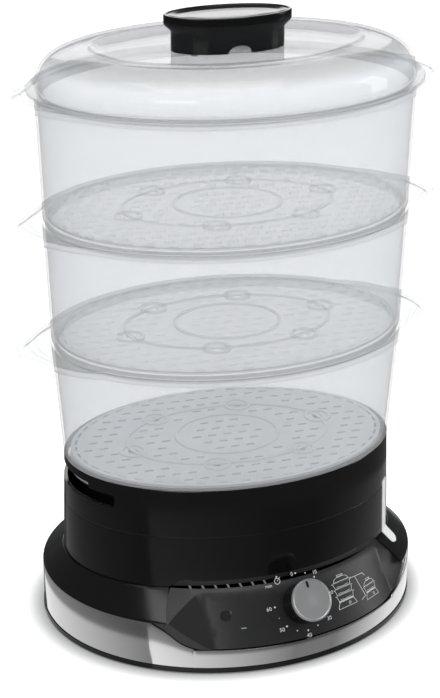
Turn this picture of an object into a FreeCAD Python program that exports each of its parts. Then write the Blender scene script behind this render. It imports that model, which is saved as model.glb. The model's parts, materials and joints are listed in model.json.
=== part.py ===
import FreeCAD, Part
import Sketcher
import math
import os
import re

# Electric food steamer: three clear oval baskets and a domed lid on a black base
# that holds the water tank, the heater and a clockwork timer.
# The front, with the control panel, faces -Y; the basket ears point along X.
# The origin lies on the table under the middle of the steamer.

os.makedirs("parts", exist_ok=True)
doc = FreeCAD.newDocument("food_steamer")
sheet = doc.addObject("Spreadsheet::Sheet", "sizes")

# Driving dimensions, millimetres unless the note says otherwise
dimensions = [
    ("footLift", 1.2, "bottom cover above the table"),
    ("coverThick", 3.2, "bottom cover plate"),
    ("coverHalf", 132.6, "half length of the bottom cover rim"),
    ("bandHalf", 132.0, "half length of the trim band"),
    ("bandDrop", 22.0, "how much the foot's half width is less than its half length"),
    ("bandThick", 0.8, "trim band sheet"),
    ("bandTop", 36.4, "top edge of the band away from the panel"),
    ("dipHeight", 17.8, "top edge of the band under the panel"),
    ("dipLeft", -40.0, "where the dip is full on the left"),
    ("dipRight", 86.0, "where the dip is full on the right"),
    ("dipLeftEnd", -79.0, "where the dip starts on the left"),
    ("dipRightEnd", 124.0, "where the dip ends on the right"),
    ("housingWall", 2.4, "base housing wall"),
    ("skirtTop", 51.0, "height where the skirt meets the oval wall"),
    ("wallFootHalf", 117.2, "half length of the oval wall at its foot"),
    ("wallTopHalf", 114.7, "half length of the oval wall at its top"),
    ("ovalDrop", 35.4, "how much the half width is less than the half length above the skirt"),
    ("baseTop", 122.0, "top of the oval wall"),
    ("tankFloor", 60.0, "upper face of the tank floor"),
    ("floorThick", 3.0, "tank floor"),
    ("panelTop", 56.5, "top edge of the control panel"),
    ("panelTopHalf", 116.2, "half length of the panel's oval at its top edge"),
    ("panelThick", 2.4, "control panel wall"),
    ("panelGap", 0.25, "gap round the control panel"),
    ("panelTopLeft", -54.0, "left end of the panel's top edge"),
    ("panelTopRight", 89.0, "right end of the panel's top edge"),
    ("cheekRight", 55.0, "where the right cheek begins, counted from the middle"),
    ("slotBottom", 104.0, "lower edge of the water inlet"),
    ("slotTop", 112.7, "upper edge of the water inlet at its ends"),
    ("slotTopMiddle", 116.5, "upper edge of the water inlet in its middle"),
    ("slotHalfWide", 48.0, "half width of the water inlet"),
    ("slotHalfMiddle", 31.0, "half width of the taller middle of the inlet"),
    ("gaugeWide", 6.4, "water gauge strip"),
    ("gaugeTop", 88.0, "top of the water gauge"),
    ("gaugeBottom", 44.0, "lower tip of the water gauge"),
    ("gaugeTurn", -18.4, "direction of the gauge seen from above, degrees"),
    ("gaugeReachX", 76.0, "start of the gauge's cut along X"),
    ("ledgeHeight", 112.0, "top of the ledge that carries the juice tray"),
    ("ledgeWide", 3.6, "how far the ledge stands in from the wall"),
    ("postSpreadX", 92.0, "screw posts left and right"),
    ("postSpreadY", 22.0, "screw posts front and back"),
    ("postRadius", 4.6, "screw post"),
    ("screwRadius", 1.6, "self-tapping screw"),
    ("screwHeadRadius", 3.1, "screw head"),
    ("footSpreadX", 84.0, "rubber feet left and right"),
    ("footSpreadY", 68.0, "rubber feet front and back"),
    ("footRadius", 9.0, "rubber foot"),
    ("plateRadius", 48.0, "heater plate flange"),
    ("plateThick", 1.2, "heater plate sheet"),
    ("panRadius", 35.0, "raised pan of the heater plate"),
    ("panHeight", 8.0, "pan above the flange"),
    ("sealThick", 1.0, "heater seal"),
    ("sealInner", 42.5, "inner radius of the heater seal"),
    ("studCircle", 45.5, "radius of the circle of studs"),
    ("studRadius", 2.0, "heater plate stud"),
    ("studLength", 9.5, "stud below the flange"),
    ("elementRing", 27.0, "radius of the heating element's ring"),
    ("elementRadius", 3.4, "heating element tube"),
    ("thermostatRadius", 8.0, "thermostat cup"),
    ("thermostatHeight", 9.0, "thermostat"),
    ("steamRingRadius", 53.0, "steam ring outside"),
    ("steamRingHeight", 24.0, "steam ring"),
    ("steamRingWall", 2.0, "steam ring wall"),
    ("dialX", 25.5, "knob centre, left to right"),
    ("dialHeight", 37.0, "knob centre above the table"),
    ("knobRadius", 13.7, "black knob body"),
    ("knobCapRadius", 14.4, "silver knob cap"),
    ("knobTall", 15.6, "knob body"),
    ("knobCapThick", 2.4, "knob cap"),
    ("knobLift", 0.8, "knob above the panel"),
    ("shaftRadius", 3.0, "timer shaft"),
    ("runningGap", 0.1, "gap round a turning shaft"),
    ("timerWide", 36.0, "timer case"),
    ("timerTall", 32.0, "timer case"),
    ("timerDeep", 18.0, "timer case"),
    ("timerShift", 3.0, "timer case centre below the shaft"),
    ("timerWall", 1.4, "timer case wall"),
    ("timerPlateDeep", 6.5, "front of the timer plate below the panel's face"),
    ("timerPlateThick", 1.2, "timer plate"),
    ("timerPlateWide", 48.0, "timer plate"),
    ("timerScrewReach", 20.5, "timer screws from the shaft"),
    ("bellRadius", 14.0, "timer bell"),
    ("bellTall", 6.5, "timer bell"),
    ("lampX", -28.0, "pilot light, left to right"),
    ("lampHeight", 36.0, "pilot light above the table"),
    ("lampRadius", 3.5, "pilot lens"),
    ("glandHeight", 21.0, "cord gland above the table"),
    ("glandRadius", 7.0, "cord gland barrel"),
    ("glandBore", 3.6, "cord gland bore"),
    ("trayFootHalf", 98.6, "half length of the juice tray at its floor"),
    ("trayRimHalf", 100.4, "half length of the juice tray under its flange"),
    ("trayBottom", 98.0, "underside of the juice tray"),
    ("trayThick", 1.8, "juice tray wall"),
    ("chimneyHalf", 26.0, "half length of the steam opening in the tray"),
    ("chimneyDrop", 10.0, "how much the steam opening's half width is less"),
    ("chimneyTop", 117.0, "top of the wall round the steam opening"),
    ("tierPitch", 84.9, "height of one basket above the one below"),
    ("basketWall", 1.8, "basket wall"),
    ("basketFloor", 2.0, "basket floor"),
    ("nestGap", 0.6, "gap round a basket's plug in the rim below"),
    ("plugDepth", 6.0, "how deep a basket sits in the rim below"),
    ("firstTopHalf", 120.8, "half length of the lowest basket at its top"),
    ("secondTopHalf", 123.3, "half length of the middle basket at its top"),
    ("thirdTopHalf", 125.4, "half length of the top basket at its top"),
    ("shoulderInset", 0.4, "how far a basket's foot stands in from the wall below"),
    ("rimWide", 12.0, "basket rim flange beyond the wall"),
    ("rimThick", 2.0, "basket rim flange"),
    ("rimLip", 4.4, "turned-down lip of the rim, overall"),
    ("earTip", 146.5, "ear tips from the middle"),
    ("earRootHalf", 47.0, "half width of an ear at its root"),
    ("earRise", 4.0, "how far the ear tips curl up"),
    ("earThick", 2.2, "ear"),
    ("holeLong", 6.6, "steam holes in the basket floor, long side"),
    ("holeWide", 2.4, "steam holes in the basket floor, short side"),
    ("holePitchX", 11.0, "steam holes along a row"),
    ("holePitchY", 10.0, "rows of steam holes"),
    ("holeMargin", 8.0, "steam holes from the basket wall"),
    ("ribHeight", 0.9, "ribs on the basket floor"),
    ("ribWide", 1.4, "ribs on the basket floor"),
    ("innerRibHalf", 36.0, "inner oval rib, half length"),
    ("innerRibDeep", 30.0, "inner oval rib, half width"),
    ("outerRibHalf", 71.0, "outer oval rib, half length"),
    ("outerRibDeep", 44.5, "outer oval rib, half width"),
    ("cupRadius", 8.4, "egg cup ring"),
    ("lidThick", 2.0, "lid wall"),
    ("lidRise", 26.0, "lid crest above its rim"),
    ("lidRimWide", 7.0, "lid rim beyond its wall"),
    ("crestInset", 34.0, "lid crest from its foot, seen from above"),
    ("dishInset", 47.0, "edge of the lid's sunken floor from its foot"),
    ("dishDeep", 4.6, "sunken floor below the crest"),
    ("handleHalf", 36.5, "lid handle column, half length"),
    ("handleDeep", 18.0, "lid handle column, half width"),
    ("handleTopHalf", 42.0, "lid handle flange, half length"),
    ("handleTopDeep", 20.5, "lid handle flange, half width"),
    ("handleTall", 23.5, "lid handle"),
    ("handleFlange", 5.5, "lid handle flange"),
    ("handleWall", 2.6, "lid handle wall"),
    ("handleDish", 2.2, "hollow in the handle's top"),
    ("notchRadius", 6.0, "steam notch in the handle's foot"),
    ("notchShift", 4.0, "steam notch from the handle's middle"),
    ("handleScrewX", 22.0, "lid handle screws from the middle"),
    ("ventRadius", 2.4, "steam vents in the lid"),
]
for row, (alias, number, note) in enumerate(dimensions, start=1):
    sheet.set(f"A{row}", alias)
    sheet.set(f"B{row}", str(number))
    sheet.set(f"C{row}", note)
    sheet.setAlias(f"B{row}", alias)
doc.recompute()

aliases = {alias for alias, number, note in dimensions}
pieces = []


def named(expression):
    """Give each dimension in an expression its sheet name."""
    return re.sub(r"[A-Za-z]\w*", lambda word: "sizes." + word[0] if word[0] in aliases else word[0], expression)


def size(expression):
    """The value of an expression in the sheet's dimensions."""
    return float(sheet.evalExpression(named(expression)))


def bind(item, **settings):
    for name, expression in settings.items():
        item.setExpression(name.replace("__", "."), named(expression))


def finish(item, label):
    """Mark an object of the document as a finished piece of the steamer."""
    item.Label = label
    pieces.append(item)
    return item


def oval(half, deep, height):
    ring = doc.addObject("Part::Ellipse", "oval")
    bind(ring, MajorRadius=half, MinorRadius=deep, Placement__Base__z=height)
    return ring


def mound(*levels):
    """Solid through level ovals, each a half length, a half width and a height."""
    loft = doc.addObject("Part::Loft", "mound")
    loft.Sections = [oval(*level) for level in levels]
    loft.Solid = True
    loft.Ruled = True
    return loft


def joined(*items):
    fuse = doc.addObject("Part::MultiFuse", "joined")
    fuse.Shapes = list(items)
    return fuse


def cut(base, *tools):
    result = doc.addObject("Part::Cut", "cut")
    result.Base = base
    result.Tool = tools[0] if len(tools) == 1 else joined(*tools)
    return result


def shared(base, tool):
    common = doc.addObject("Part::Common", "shared")
    common.Base = base
    common.Tool = tool
    return common


def group(items):
    bundle = doc.addObject("Part::Compound", "group")
    bundle.Links = list(items)
    return bundle


def block(long, wide, tall, x="0", y="0", z="0"):
    """Box centred on x and y, standing on z."""
    box = doc.addObject("Part::Box", "block")
    bind(box, Length=long, Width=wide, Height=tall)
    bind(box, Placement__Base__x=f"{x}-({long})/2", Placement__Base__y=f"{y}-({wide})/2", Placement__Base__z=z)
    return box


def rod(radius, tall, x="0", y="0", z="0"):
    cylinder = doc.addObject("Part::Cylinder", "rod")
    bind(cylinder, Radius=radius, Height=tall)
    bind(cylinder, Placement__Base__x=x, Placement__Base__y=y, Placement__Base__z=z)
    return cylinder


def origin_plane(body, role):
    return [plane for plane in body.Origin.OriginFeatures if plane.Role == role][0]


def turned(label, corners, place=None):
    """Body turned about Z from a closed profile of radius and height pairs."""
    body = doc.addObject("PartDesign::Body", label + "_body")
    sketch = body.newObject("Sketcher::SketchObject", label + "_profile")
    sketch.AttachmentSupport = (origin_plane(body, "XZ_Plane"), [""])
    sketch.MapMode = "FlatFace"
    points = [FreeCAD.Vector(size(radius), size(height), 0) for radius, height in corners]
    for index, point in enumerate(points):
        sketch.addGeometry(Part.LineSegment(point, points[(index + 1) % len(points)]), False)
    for index, (radius, height) in enumerate(corners):
        after = (index + 1) % len(points)
        sketch.addConstraint(Sketcher.Constraint("Coincident", index, 2, after, 1))
        if points[index].x == 0:
            sketch.addConstraint(Sketcher.Constraint("PointOnObject", index, 1, -2))
        else:
            across = sketch.addConstraint(Sketcher.Constraint("DistanceX", -1, 1, index, 1, points[index].x))
            sketch.setExpression(f"Constraints[{across}]", named(radius))
        if points[index].y == 0:
            sketch.addConstraint(Sketcher.Constraint("PointOnObject", index, 1, -1))
        else:
            up = sketch.addConstraint(Sketcher.Constraint("DistanceY", -1, 1, index, 1, points[index].y))
            sketch.setExpression(f"Constraints[{up}]", named(height))
    turn = body.newObject("PartDesign::Revolution", label + "_turn")
    turn.Profile = sketch
    turn.ReferenceAxis = (sketch, ["V_Axis"])
    turn.Angle = 360
    if place is not None:
        body.Placement = place
    return body


def slab(label, wide, tall, thick, corner="0", place=None):
    """Body padded from a centred rectangle, its upright edges rounded by corner."""
    body = doc.addObject("PartDesign::Body", label + "_body")
    sketch = body.newObject("Sketcher::SketchObject", label + "_outline")
    sketch.AttachmentSupport = (origin_plane(body, "XY_Plane"), [""])
    sketch.MapMode = "FlatFace"
    half_wide, half_tall = size(wide) / 2, size(tall) / 2
    ends = [FreeCAD.Vector(x * half_wide, y * half_tall, 0) for x, y in ((-1, -1), (1, -1), (1, 1), (-1, 1))]
    for index in range(4):
        sketch.addGeometry(Part.LineSegment(ends[index], ends[(index + 1) % 4]), False)
    for index in range(4):
        sketch.addConstraint(Sketcher.Constraint("Coincident", index, 2, (index + 1) % 4, 1))
        sketch.addConstraint(Sketcher.Constraint("Horizontal" if index % 2 == 0 else "Vertical", index))
    sketch.addConstraint(Sketcher.Constraint("Symmetric", 0, 1, 1, 2, -1, 1))
    across = sketch.addConstraint(Sketcher.Constraint("DistanceX", 0, 1, 0, 2, 2 * half_wide))
    up = sketch.addConstraint(Sketcher.Constraint("DistanceY", 1, 1, 1, 2, 2 * half_tall))
    sketch.setExpression(f"Constraints[{across}]", named(wide))
    sketch.setExpression(f"Constraints[{up}]", named(tall))
    pad = body.newObject("PartDesign::Pad", label + "_pad")
    pad.Profile = sketch
    bind(pad, Length=thick)
    if corner != "0":
        doc.recompute()
        upright = []
        for index, edge in enumerate(pad.Shape.Edges, start=1):
            if abs(edge.tangentAt(edge.FirstParameter).z) > 0.9:
                upright.append(f"Edge{index}")
        rounding = body.newObject("PartDesign::Fillet", label + "_rounding")
        rounding.Base = (pad, upright)
        bind(rounding, Radius=corner)
    if place is not None:
        body.Placement = place
    return body


def formed(label, shape):
    """Object that holds a shape worked out here from the sheet."""
    item = doc.addObject("Part::Feature", label)
    item.Shape = shape
    return item


def vector(x, y, z):
    return FreeCAD.Vector(x, y, z)


def smooth_wire(points):
    curve = Part.BSplineCurve()
    curve.interpolate(points)
    return curve.toShape()


# Ovals that several pieces share
def band_oval(inset, height):
    return (f"bandHalf-({inset})", f"bandHalf-bandDrop-({inset})", height)


def wall_oval(half, inset, height):
    return (f"{half}-({inset})", f"{half}-ovalDrop-({inset})", height)


housing_recess = "bandThick+0.1"
cover_top = "footLift+coverThick"
floor_under = "tankFloor-floorThick"


# The dial: a frame on the panel's face, with its own across, up and outward directions
def panel_oval_at(height):
    share = (height - size("dipHeight")) / size("panelTop-dipHeight")
    half = size(f"bandHalf-({housing_recess})") * (1 - share) + size("panelTopHalf") * share
    deep = size(f"bandHalf-bandDrop-({housing_recess})") * (1 - share) + size("panelTopHalf-ovalDrop") * share
    return half, deep


def panel_frame(x, height):
    """Placement on the panel's face, its Z axis pointing straight out of the panel."""
    half, deep = panel_oval_at(height)
    y = -deep * math.sqrt(1 - (x / half) ** 2)
    turn = math.degrees(math.atan2(x / half ** 2, -y / deep ** 2))
    low_deep = size(f"bandHalf-bandDrop-({housing_recess})")
    run = low_deep - size("panelTopHalf-ovalDrop")
    rise = size("panelTop-dipHeight")
    tilt = math.degrees(math.atan2(rise, run))
    rotation = FreeCAD.Rotation(vector(0, 0, 1), turn) * FreeCAD.Rotation(vector(1, 0, 0), tilt)
    return FreeCAD.Placement(vector(x, y, height), rotation)


def lifted(frame, across=0.0, up=0.0, out=0.0):
    """The same frame moved along its own directions."""
    return frame * FreeCAD.Placement(vector(across, up, out), FreeCAD.Rotation())


dial = panel_frame(size("dialX"), size("dialHeight"))
lamp = panel_frame(size("lampX"), size("lampHeight"))


def dip_curve(inset=0.0):
    """Edge of the band under the panel, from the left end to the right end, seen from the front."""
    top = size("bandTop") + 0.6 + inset
    low = size("dipHeight") + inset
    left, left_end = size("dipLeft"), size("dipLeftEnd")
    right, right_end = size("dipRight"), size("dipRightEnd")
    span_left = left - left_end
    span_right = right_end - right
    rise = top - low
    left_curve = [vector(left_end - inset * 0.3, 0, top), vector(left_end + span_left * 0.24, 0, low + rise * 0.68),
                  vector(left_end + span_left * 0.47, 0, low + rise * 0.27),
                  vector(left_end + span_left * 0.7, 0, low + rise * 0.06), vector(left, 0, low)]
    right_curve = [vector(right, 0, low), vector(right + span_right * 0.3, 0, low + rise * 0.05),
                   vector(right + span_right * 0.58, 0, low + rise * 0.24),
                   vector(right + span_right * 0.82, 0, low + rise * 0.58), vector(right_end + inset * 0.3, 0, top)]
    return left_curve, right_curve


def front_prism(label, wires, back=0.0):
    """Flat outline in the XZ plane carried from back towards the front."""
    face = Part.Face(Part.Wire(Part.sortEdges(wires)[0]))
    face.translate(vector(0, -back, 0))
    return formed(label, face.extrude(vector(0, -(size("bandHalf") - back), 0)))


def dip_prism():
    """Everything above the band's dipped edge, as seen from the front."""
    left_curve, right_curve = dip_curve()
    high = size("panelTop")
    top_left = vector(left_curve[0].x, 0, high)
    top_right = vector(right_curve[-1].x, 0, high)
    edges = [smooth_wire(left_curve), Part.LineSegment(left_curve[-1], right_curve[0]).toShape(),
             smooth_wire(right_curve), Part.LineSegment(right_curve[-1], top_right).toShape(),
             Part.LineSegment(top_right, top_left).toShape(), Part.LineSegment(top_left, left_curve[0]).toShape()]
    return front_prism("dip", edges, back=size("housingWall") * 4)


def panel_prism(label, inset, back=20.0):
    """Outline of the control panel, drawn in by inset, carried towards the front."""
    left_curve, right_curve = dip_curve(inset)
    left_low = left_curve[1] + vector(inset, 0, 0)
    right_low = right_curve[3] - vector(inset, 0, 0)
    top = size("panelTop") - inset
    top_left = vector(size("panelTopLeft") + inset, 0, top)
    top_right = vector(size("panelTopRight") - inset, 0, top)
    left_side = smooth_wire([top_left, top_left + vector(-8.5, 0, -8), left_low + vector(1.2, 0, 8), left_low])
    right_side = smooth_wire([right_low, (right_low + top_right) * 0.5 + vector(0, 0, 1), top_right])
    edges = [left_side, smooth_wire([left_low] + left_curve[2:]),
             Part.LineSegment(left_curve[-1], right_curve[0]).toShape(),
             smooth_wire(right_curve[:3] + [right_low]), right_side, Part.LineSegment(top_right, top_left).toShape()]
    return front_prism(label, edges, back)


def beyond_cheek(corners, inside):
    """Everything on the far side of the plane through three points on the panel's edges."""
    points = []
    for x, height, half, drop in corners:
        deep = half - drop
        points.append(vector(x, -deep * math.sqrt(1 - (x / half) ** 2), height))
    normal = (points[1] - points[0]).cross(points[2] - points[0])
    normal.normalize()
    if normal.dot(inside - points[0]) > 0:
        normal = normal * -1
    along = (points[1] - points[0]).normalize()
    over = normal.cross(along)
    reach = 2 * size("bandHalf")
    square = []
    for first, second in ((-1, -1), (1, -1), (1, 1), (-1, 1), (-1, -1)):
        square.append(points[0] + along * (first * reach) + over * (second * reach))
    return Part.Face(Part.makePolygon(square)).extrude(normal * reach)


def panel_hollow():
    """Room that the panel leaves below the skirt's surface, between two slanting cheeks."""
    top, low, band = size("panelTop"), size("dipHeight"), size("bandTop")
    top_half, band_half = size("panelTopHalf"), size("bandHalf")
    drop, band_drop = size("ovalDrop"), size("bandDrop")
    inside = vector((size("panelTopLeft") + size("panelTopRight")) / 2, -band_half, (top + low) / 2)
    room = Part.makeBox(2 * band_half, band_half, top - low + 13, vector(-band_half, -1.2 * band_half, low - 8))
    left = [(size("panelTopLeft") + 9, top, top_half, drop),
            (size("dipLeft") - 2.5, low, band_half, band_drop),
            (size("dipLeftEnd") + 11, band, band_half, band_drop)]
    right = [(size("panelTopRight"), top, top_half, drop), (size("dipRight") + 18, low, band_half, band_drop),
             (size("dipRightEnd") - 8, band, band_half, band_drop)]
    left_side = Part.makeBox(2 * band_half, 4 * band_half, 4 * band_half,
                             vector(-2 * band_half, -2 * band_half, -band_half))
    right_side = Part.makeBox(2 * band_half, 4 * band_half, 4 * band_half,
                              vector(size("cheekRight"), -2 * band_half, -band_half))
    left_cheek = beyond_cheek(left, inside).common(left_side)
    right_cheek = beyond_cheek(right, inside).common(right_side)
    return formed("hollow", room.cut(left_cheek).cut(right_cheek))


# Base housing: drop wall behind the band, skirt, oval tank wall, tank floor and screw posts
def housing_outside():
    drop_wall = mound(band_oval(housing_recess, cover_top), band_oval(housing_recess, "bandTop+0.7"))
    upper = mound(band_oval("0.1", "bandTop+0.3"), wall_oval("wallFootHalf", "0", "skirtTop"),
                  wall_oval("wallTopHalf", "0", "baseTop"))
    return joined(drop_wall, upper)


def gauge_block(extra, low, high):
    strip = block("60", f"gaugeWide+2*({extra})", f"({high})-({low})", x="gaugeReachX+30")
    turn = FreeCAD.Rotation(vector(0, 0, 1), size("gaugeTurn"))
    holder = FreeCAD.Placement(vector(0, 0, size(low)), turn)
    strip.setExpression("Placement.Base.x", None)
    strip.setExpression("Placement.Base.y", None)
    strip.setExpression("Placement.Base.z", None)
    strip.Placement = holder * FreeCAD.Placement(vector(size("gaugeReachX"), -size(f"gaugeWide/2+({extra})"), 0),
                                                 FreeCAD.Rotation())
    return strip


def gauge_form(extra):
    """Gauge strip, grown by extra all round, following the wall and the skirt."""
    outside = mound(band_oval("-0.6", "bandTop+0.3"), wall_oval("wallFootHalf", "-0.7", "skirtTop+0.3"),
                    wall_oval("wallTopHalf", "-0.7", "baseTop"))
    depth = f"housingWall+{extra}"
    inside = mound(band_oval(depth, "bandTop-5"), wall_oval("wallFootHalf", depth, "skirtTop-1.5"),
                   wall_oval("wallFootHalf", depth, "tankFloor"), wall_oval("wallTopHalf", depth, "baseTop+1"))
    strip = gauge_block(extra, f"gaugeBottom+0.15-({extra})", f"gaugeTop-0.15+({extra})")
    return shared(strip, cut(outside, inside))


def base_housing():
    tank = mound(wall_oval("wallFootHalf", "housingWall", "tankFloor"),
                 wall_oval("wallTopHalf", "housingWall", "baseTop"),
                 wall_oval("wallTopHalf", "housingWall", "baseTop+1"))
    hollow = mound(band_oval(f"{housing_recess}+housingWall", "footLift"),
                   band_oval(f"{housing_recess}+housingWall", "bandTop-1.4"),
                   wall_oval("wallFootHalf", "housingWall", "skirtTop-1.5"),
                   wall_oval("wallFootHalf", "housingWall", floor_under))
    ledge_outer = mound(wall_oval("wallTopHalf", "housingWall/2", "ledgeHeight-2"),
                        wall_oval("wallTopHalf", "housingWall/2", "ledgeHeight"))
    ledge_inner = mound(wall_oval("wallTopHalf", "housingWall+ledgeWide", "ledgeHeight-3"),
                        wall_oval("wallTopHalf", "housingWall+ledgeWide", "ledgeHeight+1"))
    shell = cut(housing_outside(), tank, hollow)
    solids = [shell, cut(ledge_outer, ledge_inner)]
    holes = []
    for x in ("postSpreadX", "-postSpreadX"):
        for y in ("postSpreadY", "-postSpreadY"):
            solids.append(rod("postRadius", f"{floor_under}-({cover_top})+0.5", x, y, cover_top))
            holes.append(rod("screwRadius", "14", x, y, f"{cover_top}-1"))
    holes.append(rod("panRadius+elementRadius", "floorThick+2", "0", "0", f"{floor_under}-1"))
    for index in range(3):
        angle = math.radians(90 + 120 * index)
        spot = rod("studRadius+0.3", "floorThick+2", f"studCircle*{math.cos(angle)}", f"studCircle*{math.sin(angle)}",
                   f"{floor_under}-1")
        holes.append(spot)
    reach = "wallTopHalf-80"
    holes.append(block(f"2*({reach})", "2*slotHalfWide", "slotTop-slotBottom", "-wallTopHalf", "0", "slotBottom"))
    holes.append(block(f"2*({reach})", "2*slotHalfMiddle", "slotTopMiddle-slotBottom", "-wallTopHalf", "0",
                       "slotBottom"))
    holes.append(gauge_form("0.15"))
    gland_hole = rod("glandRadius+0.15", "30", "0", "bandHalf-bandDrop+10", "glandHeight")
    gland_hole.Placement.Rotation = FreeCAD.Rotation(vector(1, 0, 0), 90)
    holes.append(gland_hole)
    holes.append(panel_prism("panel_opening", 0.0, back=30.0))
    return finish(cut(joined(*solids), *holes), "base_housing")


def trim_band():
    ring = cut(mound(band_oval("0", f"{cover_top}+0.2"), band_oval("0", "bandTop")),
               mound(band_oval("bandThick", "footLift"), band_oval("bandThick", "bandTop+1")))
    gland_hole = rod("glandRadius+0.15", "30", "0", "bandHalf-bandDrop+10", "glandHeight")
    gland_hole.Placement.Rotation = FreeCAD.Rotation(vector(1, 0, 0), 90)
    return finish(cut(ring, dip_prism(), gland_hole), "trim_band")


def control_panel():
    chunk = shared(panel_prism("panel_block", size("panelGap")), housing_outside())
    face_low = band_oval(f"{housing_recess}-3*(bandHalf-panelTopHalf)/(panelTop-dipHeight)", "dipHeight-3")
    face_high = wall_oval("panelTopHalf", "0", "panelTop")
    back_low = band_oval(f"{housing_recess}+panelThick", "dipHeight-3")
    back_high = wall_oval("panelTopHalf", "panelThick", "panelTop+1")
    scoop = cut(panel_hollow(), mound(face_low, face_high))
    behind = mound(back_low, back_high)
    bore = doc.addObject("Part::Cylinder", "rod")
    bind(bore, Radius="shaftRadius+1", Height="20")
    bore.Placement = lifted(dial, out=-10)
    window = doc.addObject("Part::Cylinder", "rod")
    bind(window, Radius="lampRadius+0.1", Height="20")
    window.Placement = lifted(lamp, out=-10)
    return finish(cut(chunk, scoop, behind, bore, window), "control_panel")


def bottom_cover():
    plate = mound(("coverHalf", "coverHalf-bandDrop", "footLift"), ("coverHalf", "coverHalf-bandDrop", cover_top))
    inset = f"{housing_recess}+housingWall+0.4"
    spigot = cut(mound(band_oval(inset, "footLift+1"), band_oval(inset, f"{cover_top}+5")),
                 mound(band_oval(f"{inset}+2", cover_top), band_oval(f"{inset}+2", f"{cover_top}+6")))
    holes = []
    for x in ("postSpreadX", "-postSpreadX"):
        for y in ("postSpreadY", "-postSpreadY"):
            holes.append(rod("screwRadius+0.2", "coverThick+2", x, y, "footLift-1"))
            holes.append(rod("screwHeadRadius+0.3", "2.5", x, y, "footLift-1"))
    for index in range(-3, 4):
        holes.append(block("3", "40", "coverThick+2", f"{index * 9}", "0", "footLift-1"))
    for x in ("footSpreadX", "-footSpreadX"):
        for y in ("footSpreadY", "-footSpreadY"):
            holes.append(rod("footRadius/2", "coverThick+2", x, y, "footLift-1"))
    return finish(cut(joined(plate, spigot), *holes), "bottom_cover")


def rubber_feet():
    feet = []
    for x in ("footSpreadX", "-footSpreadX"):
        for y in ("footSpreadY", "-footSpreadY"):
            foot = turned("rubber_foot", [("0", "0"), ("footRadius-1", "0"), ("footRadius", "footLift"),
                                          ("footRadius/2-0.1", "footLift"), ("footRadius/2-0.1", f"{cover_top}+2"),
                                          ("0", f"{cover_top}+2")])
            bind(foot, Placement__Base__x=x, Placement__Base__y=y)
            feet.append(foot)
    return finish(group(feet), "rubber_feet")


def base_screws():
    screws = []
    for x in ("postSpreadX", "-postSpreadX"):
        for y in ("postSpreadY", "-postSpreadY"):
            screw = turned("base_screw", [("0", "0"), ("screwHeadRadius-0.6", "0"), ("screwHeadRadius", "0.5"),
                                          ("screwHeadRadius", "1.4"), ("screwRadius-0.05", "1.4"),
                                          ("screwRadius-0.05", "12"), ("0", "13")])
            bind(screw, Placement__Base__x=x, Placement__Base__y=y, Placement__Base__z="footLift+0.1")
            screws.append(screw)
    return finish(group(screws), "base_screws")


def water_gauge():
    return finish(gauge_form("0"), "water_gauge")


def fill_chute():
    back = cut(mound(("102.4", "102.4-ovalDrop", "slotBottom-10"), ("102.4", "102.4-ovalDrop", "ledgeHeight-2.5")),
               mound(("100.9", "100.9-ovalDrop", "slotBottom-11"), ("100.9", "100.9-ovalDrop", "ledgeHeight")))
    reach = block("80", "2*slotHalfWide+6", "30", "-wallTopHalf+15", "0", "slotBottom-12")
    cheeks = []
    for side in ("1", "-1"):
        cheek = block("50", "1.6", "ledgeHeight-2.5-(slotBottom-10)", "-80", f"{side}*(slotHalfWide+2.2)", "slotBottom-10")
        cheeks.append(cheek)
    inside = mound(wall_oval("wallFootHalf", "housingWall+0.1", "tankFloor"),
                   wall_oval("wallTopHalf", "housingWall+0.1", "baseTop"))
    outer_face = cut(inside, mound(("100.9", "100.9-ovalDrop", "tankFloor-1"), ("100.9", "100.9-ovalDrop", "baseTop+1")))
    sides = shared(joined(*cheeks), outer_face)
    return finish(joined(shared(back, reach), sides), "fill_chute")


# Heater: plate with a raised pan and studs, seal, clamp ring, nuts, element, thermostat and fuse
def heater_plate():
    low = "tankFloor+sealThick"
    pan = turned("heater_pan", [("panRadius-plateThick", low), ("plateRadius", low),
                                ("plateRadius", f"{low}+plateThick"), ("panRadius", f"{low}+plateThick"),
                                ("panRadius", f"{low}+panHeight-2"), ("panRadius-2", f"{low}+panHeight"),
                                ("0", f"{low}+panHeight"), ("0", f"{low}+panHeight-plateThick"),
                                ("panRadius-2-plateThick/2", f"{low}+panHeight-plateThick"),
                                ("panRadius-plateThick", f"{low}+panHeight-2-plateThick/2")])
    studs = []
    for index in range(3):
        angle = math.radians(90 + 120 * index)
        studs.append(rod("studRadius", "studLength", f"studCircle*{math.cos(angle)}", f"studCircle*{math.sin(angle)}",
                         f"{low}-studLength+0.2"))
    return finish(joined(pan, *studs), "heater_plate")


def heater_seal():
    ring = turned("heater_seal", [("sealInner", "tankFloor"), ("plateRadius+0.6", "tankFloor"),
                                  ("plateRadius+0.6", "tankFloor+sealThick"), ("sealInner", "tankFloor+sealThick")])
    holes = []
    for index in range(3):
        angle = math.radians(90 + 120 * index)
        holes.append(rod("studRadius+0.05", "sealThick+2", f"studCircle*{math.cos(angle)}",
                         f"studCircle*{math.sin(angle)}", "tankFloor-1"))
    return finish(cut(ring, *holes), "heater_seal")


def heater_clamp():
    ring = turned("heater_clamp", [("sealInner-1", f"{floor_under}-1.5"), ("plateRadius+2", f"{floor_under}-1.5"),
                                   ("plateRadius+2", floor_under), ("sealInner-1", floor_under)])
    holes = []
    for index in range(3):
        angle = math.radians(90 + 120 * index)
        holes.append(rod("studRadius+0.2", "4", f"studCircle*{math.cos(angle)}", f"studCircle*{math.sin(angle)}",
                         f"{floor_under}-3"))
    return finish(cut(ring, *holes), "heater_clamp")


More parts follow.
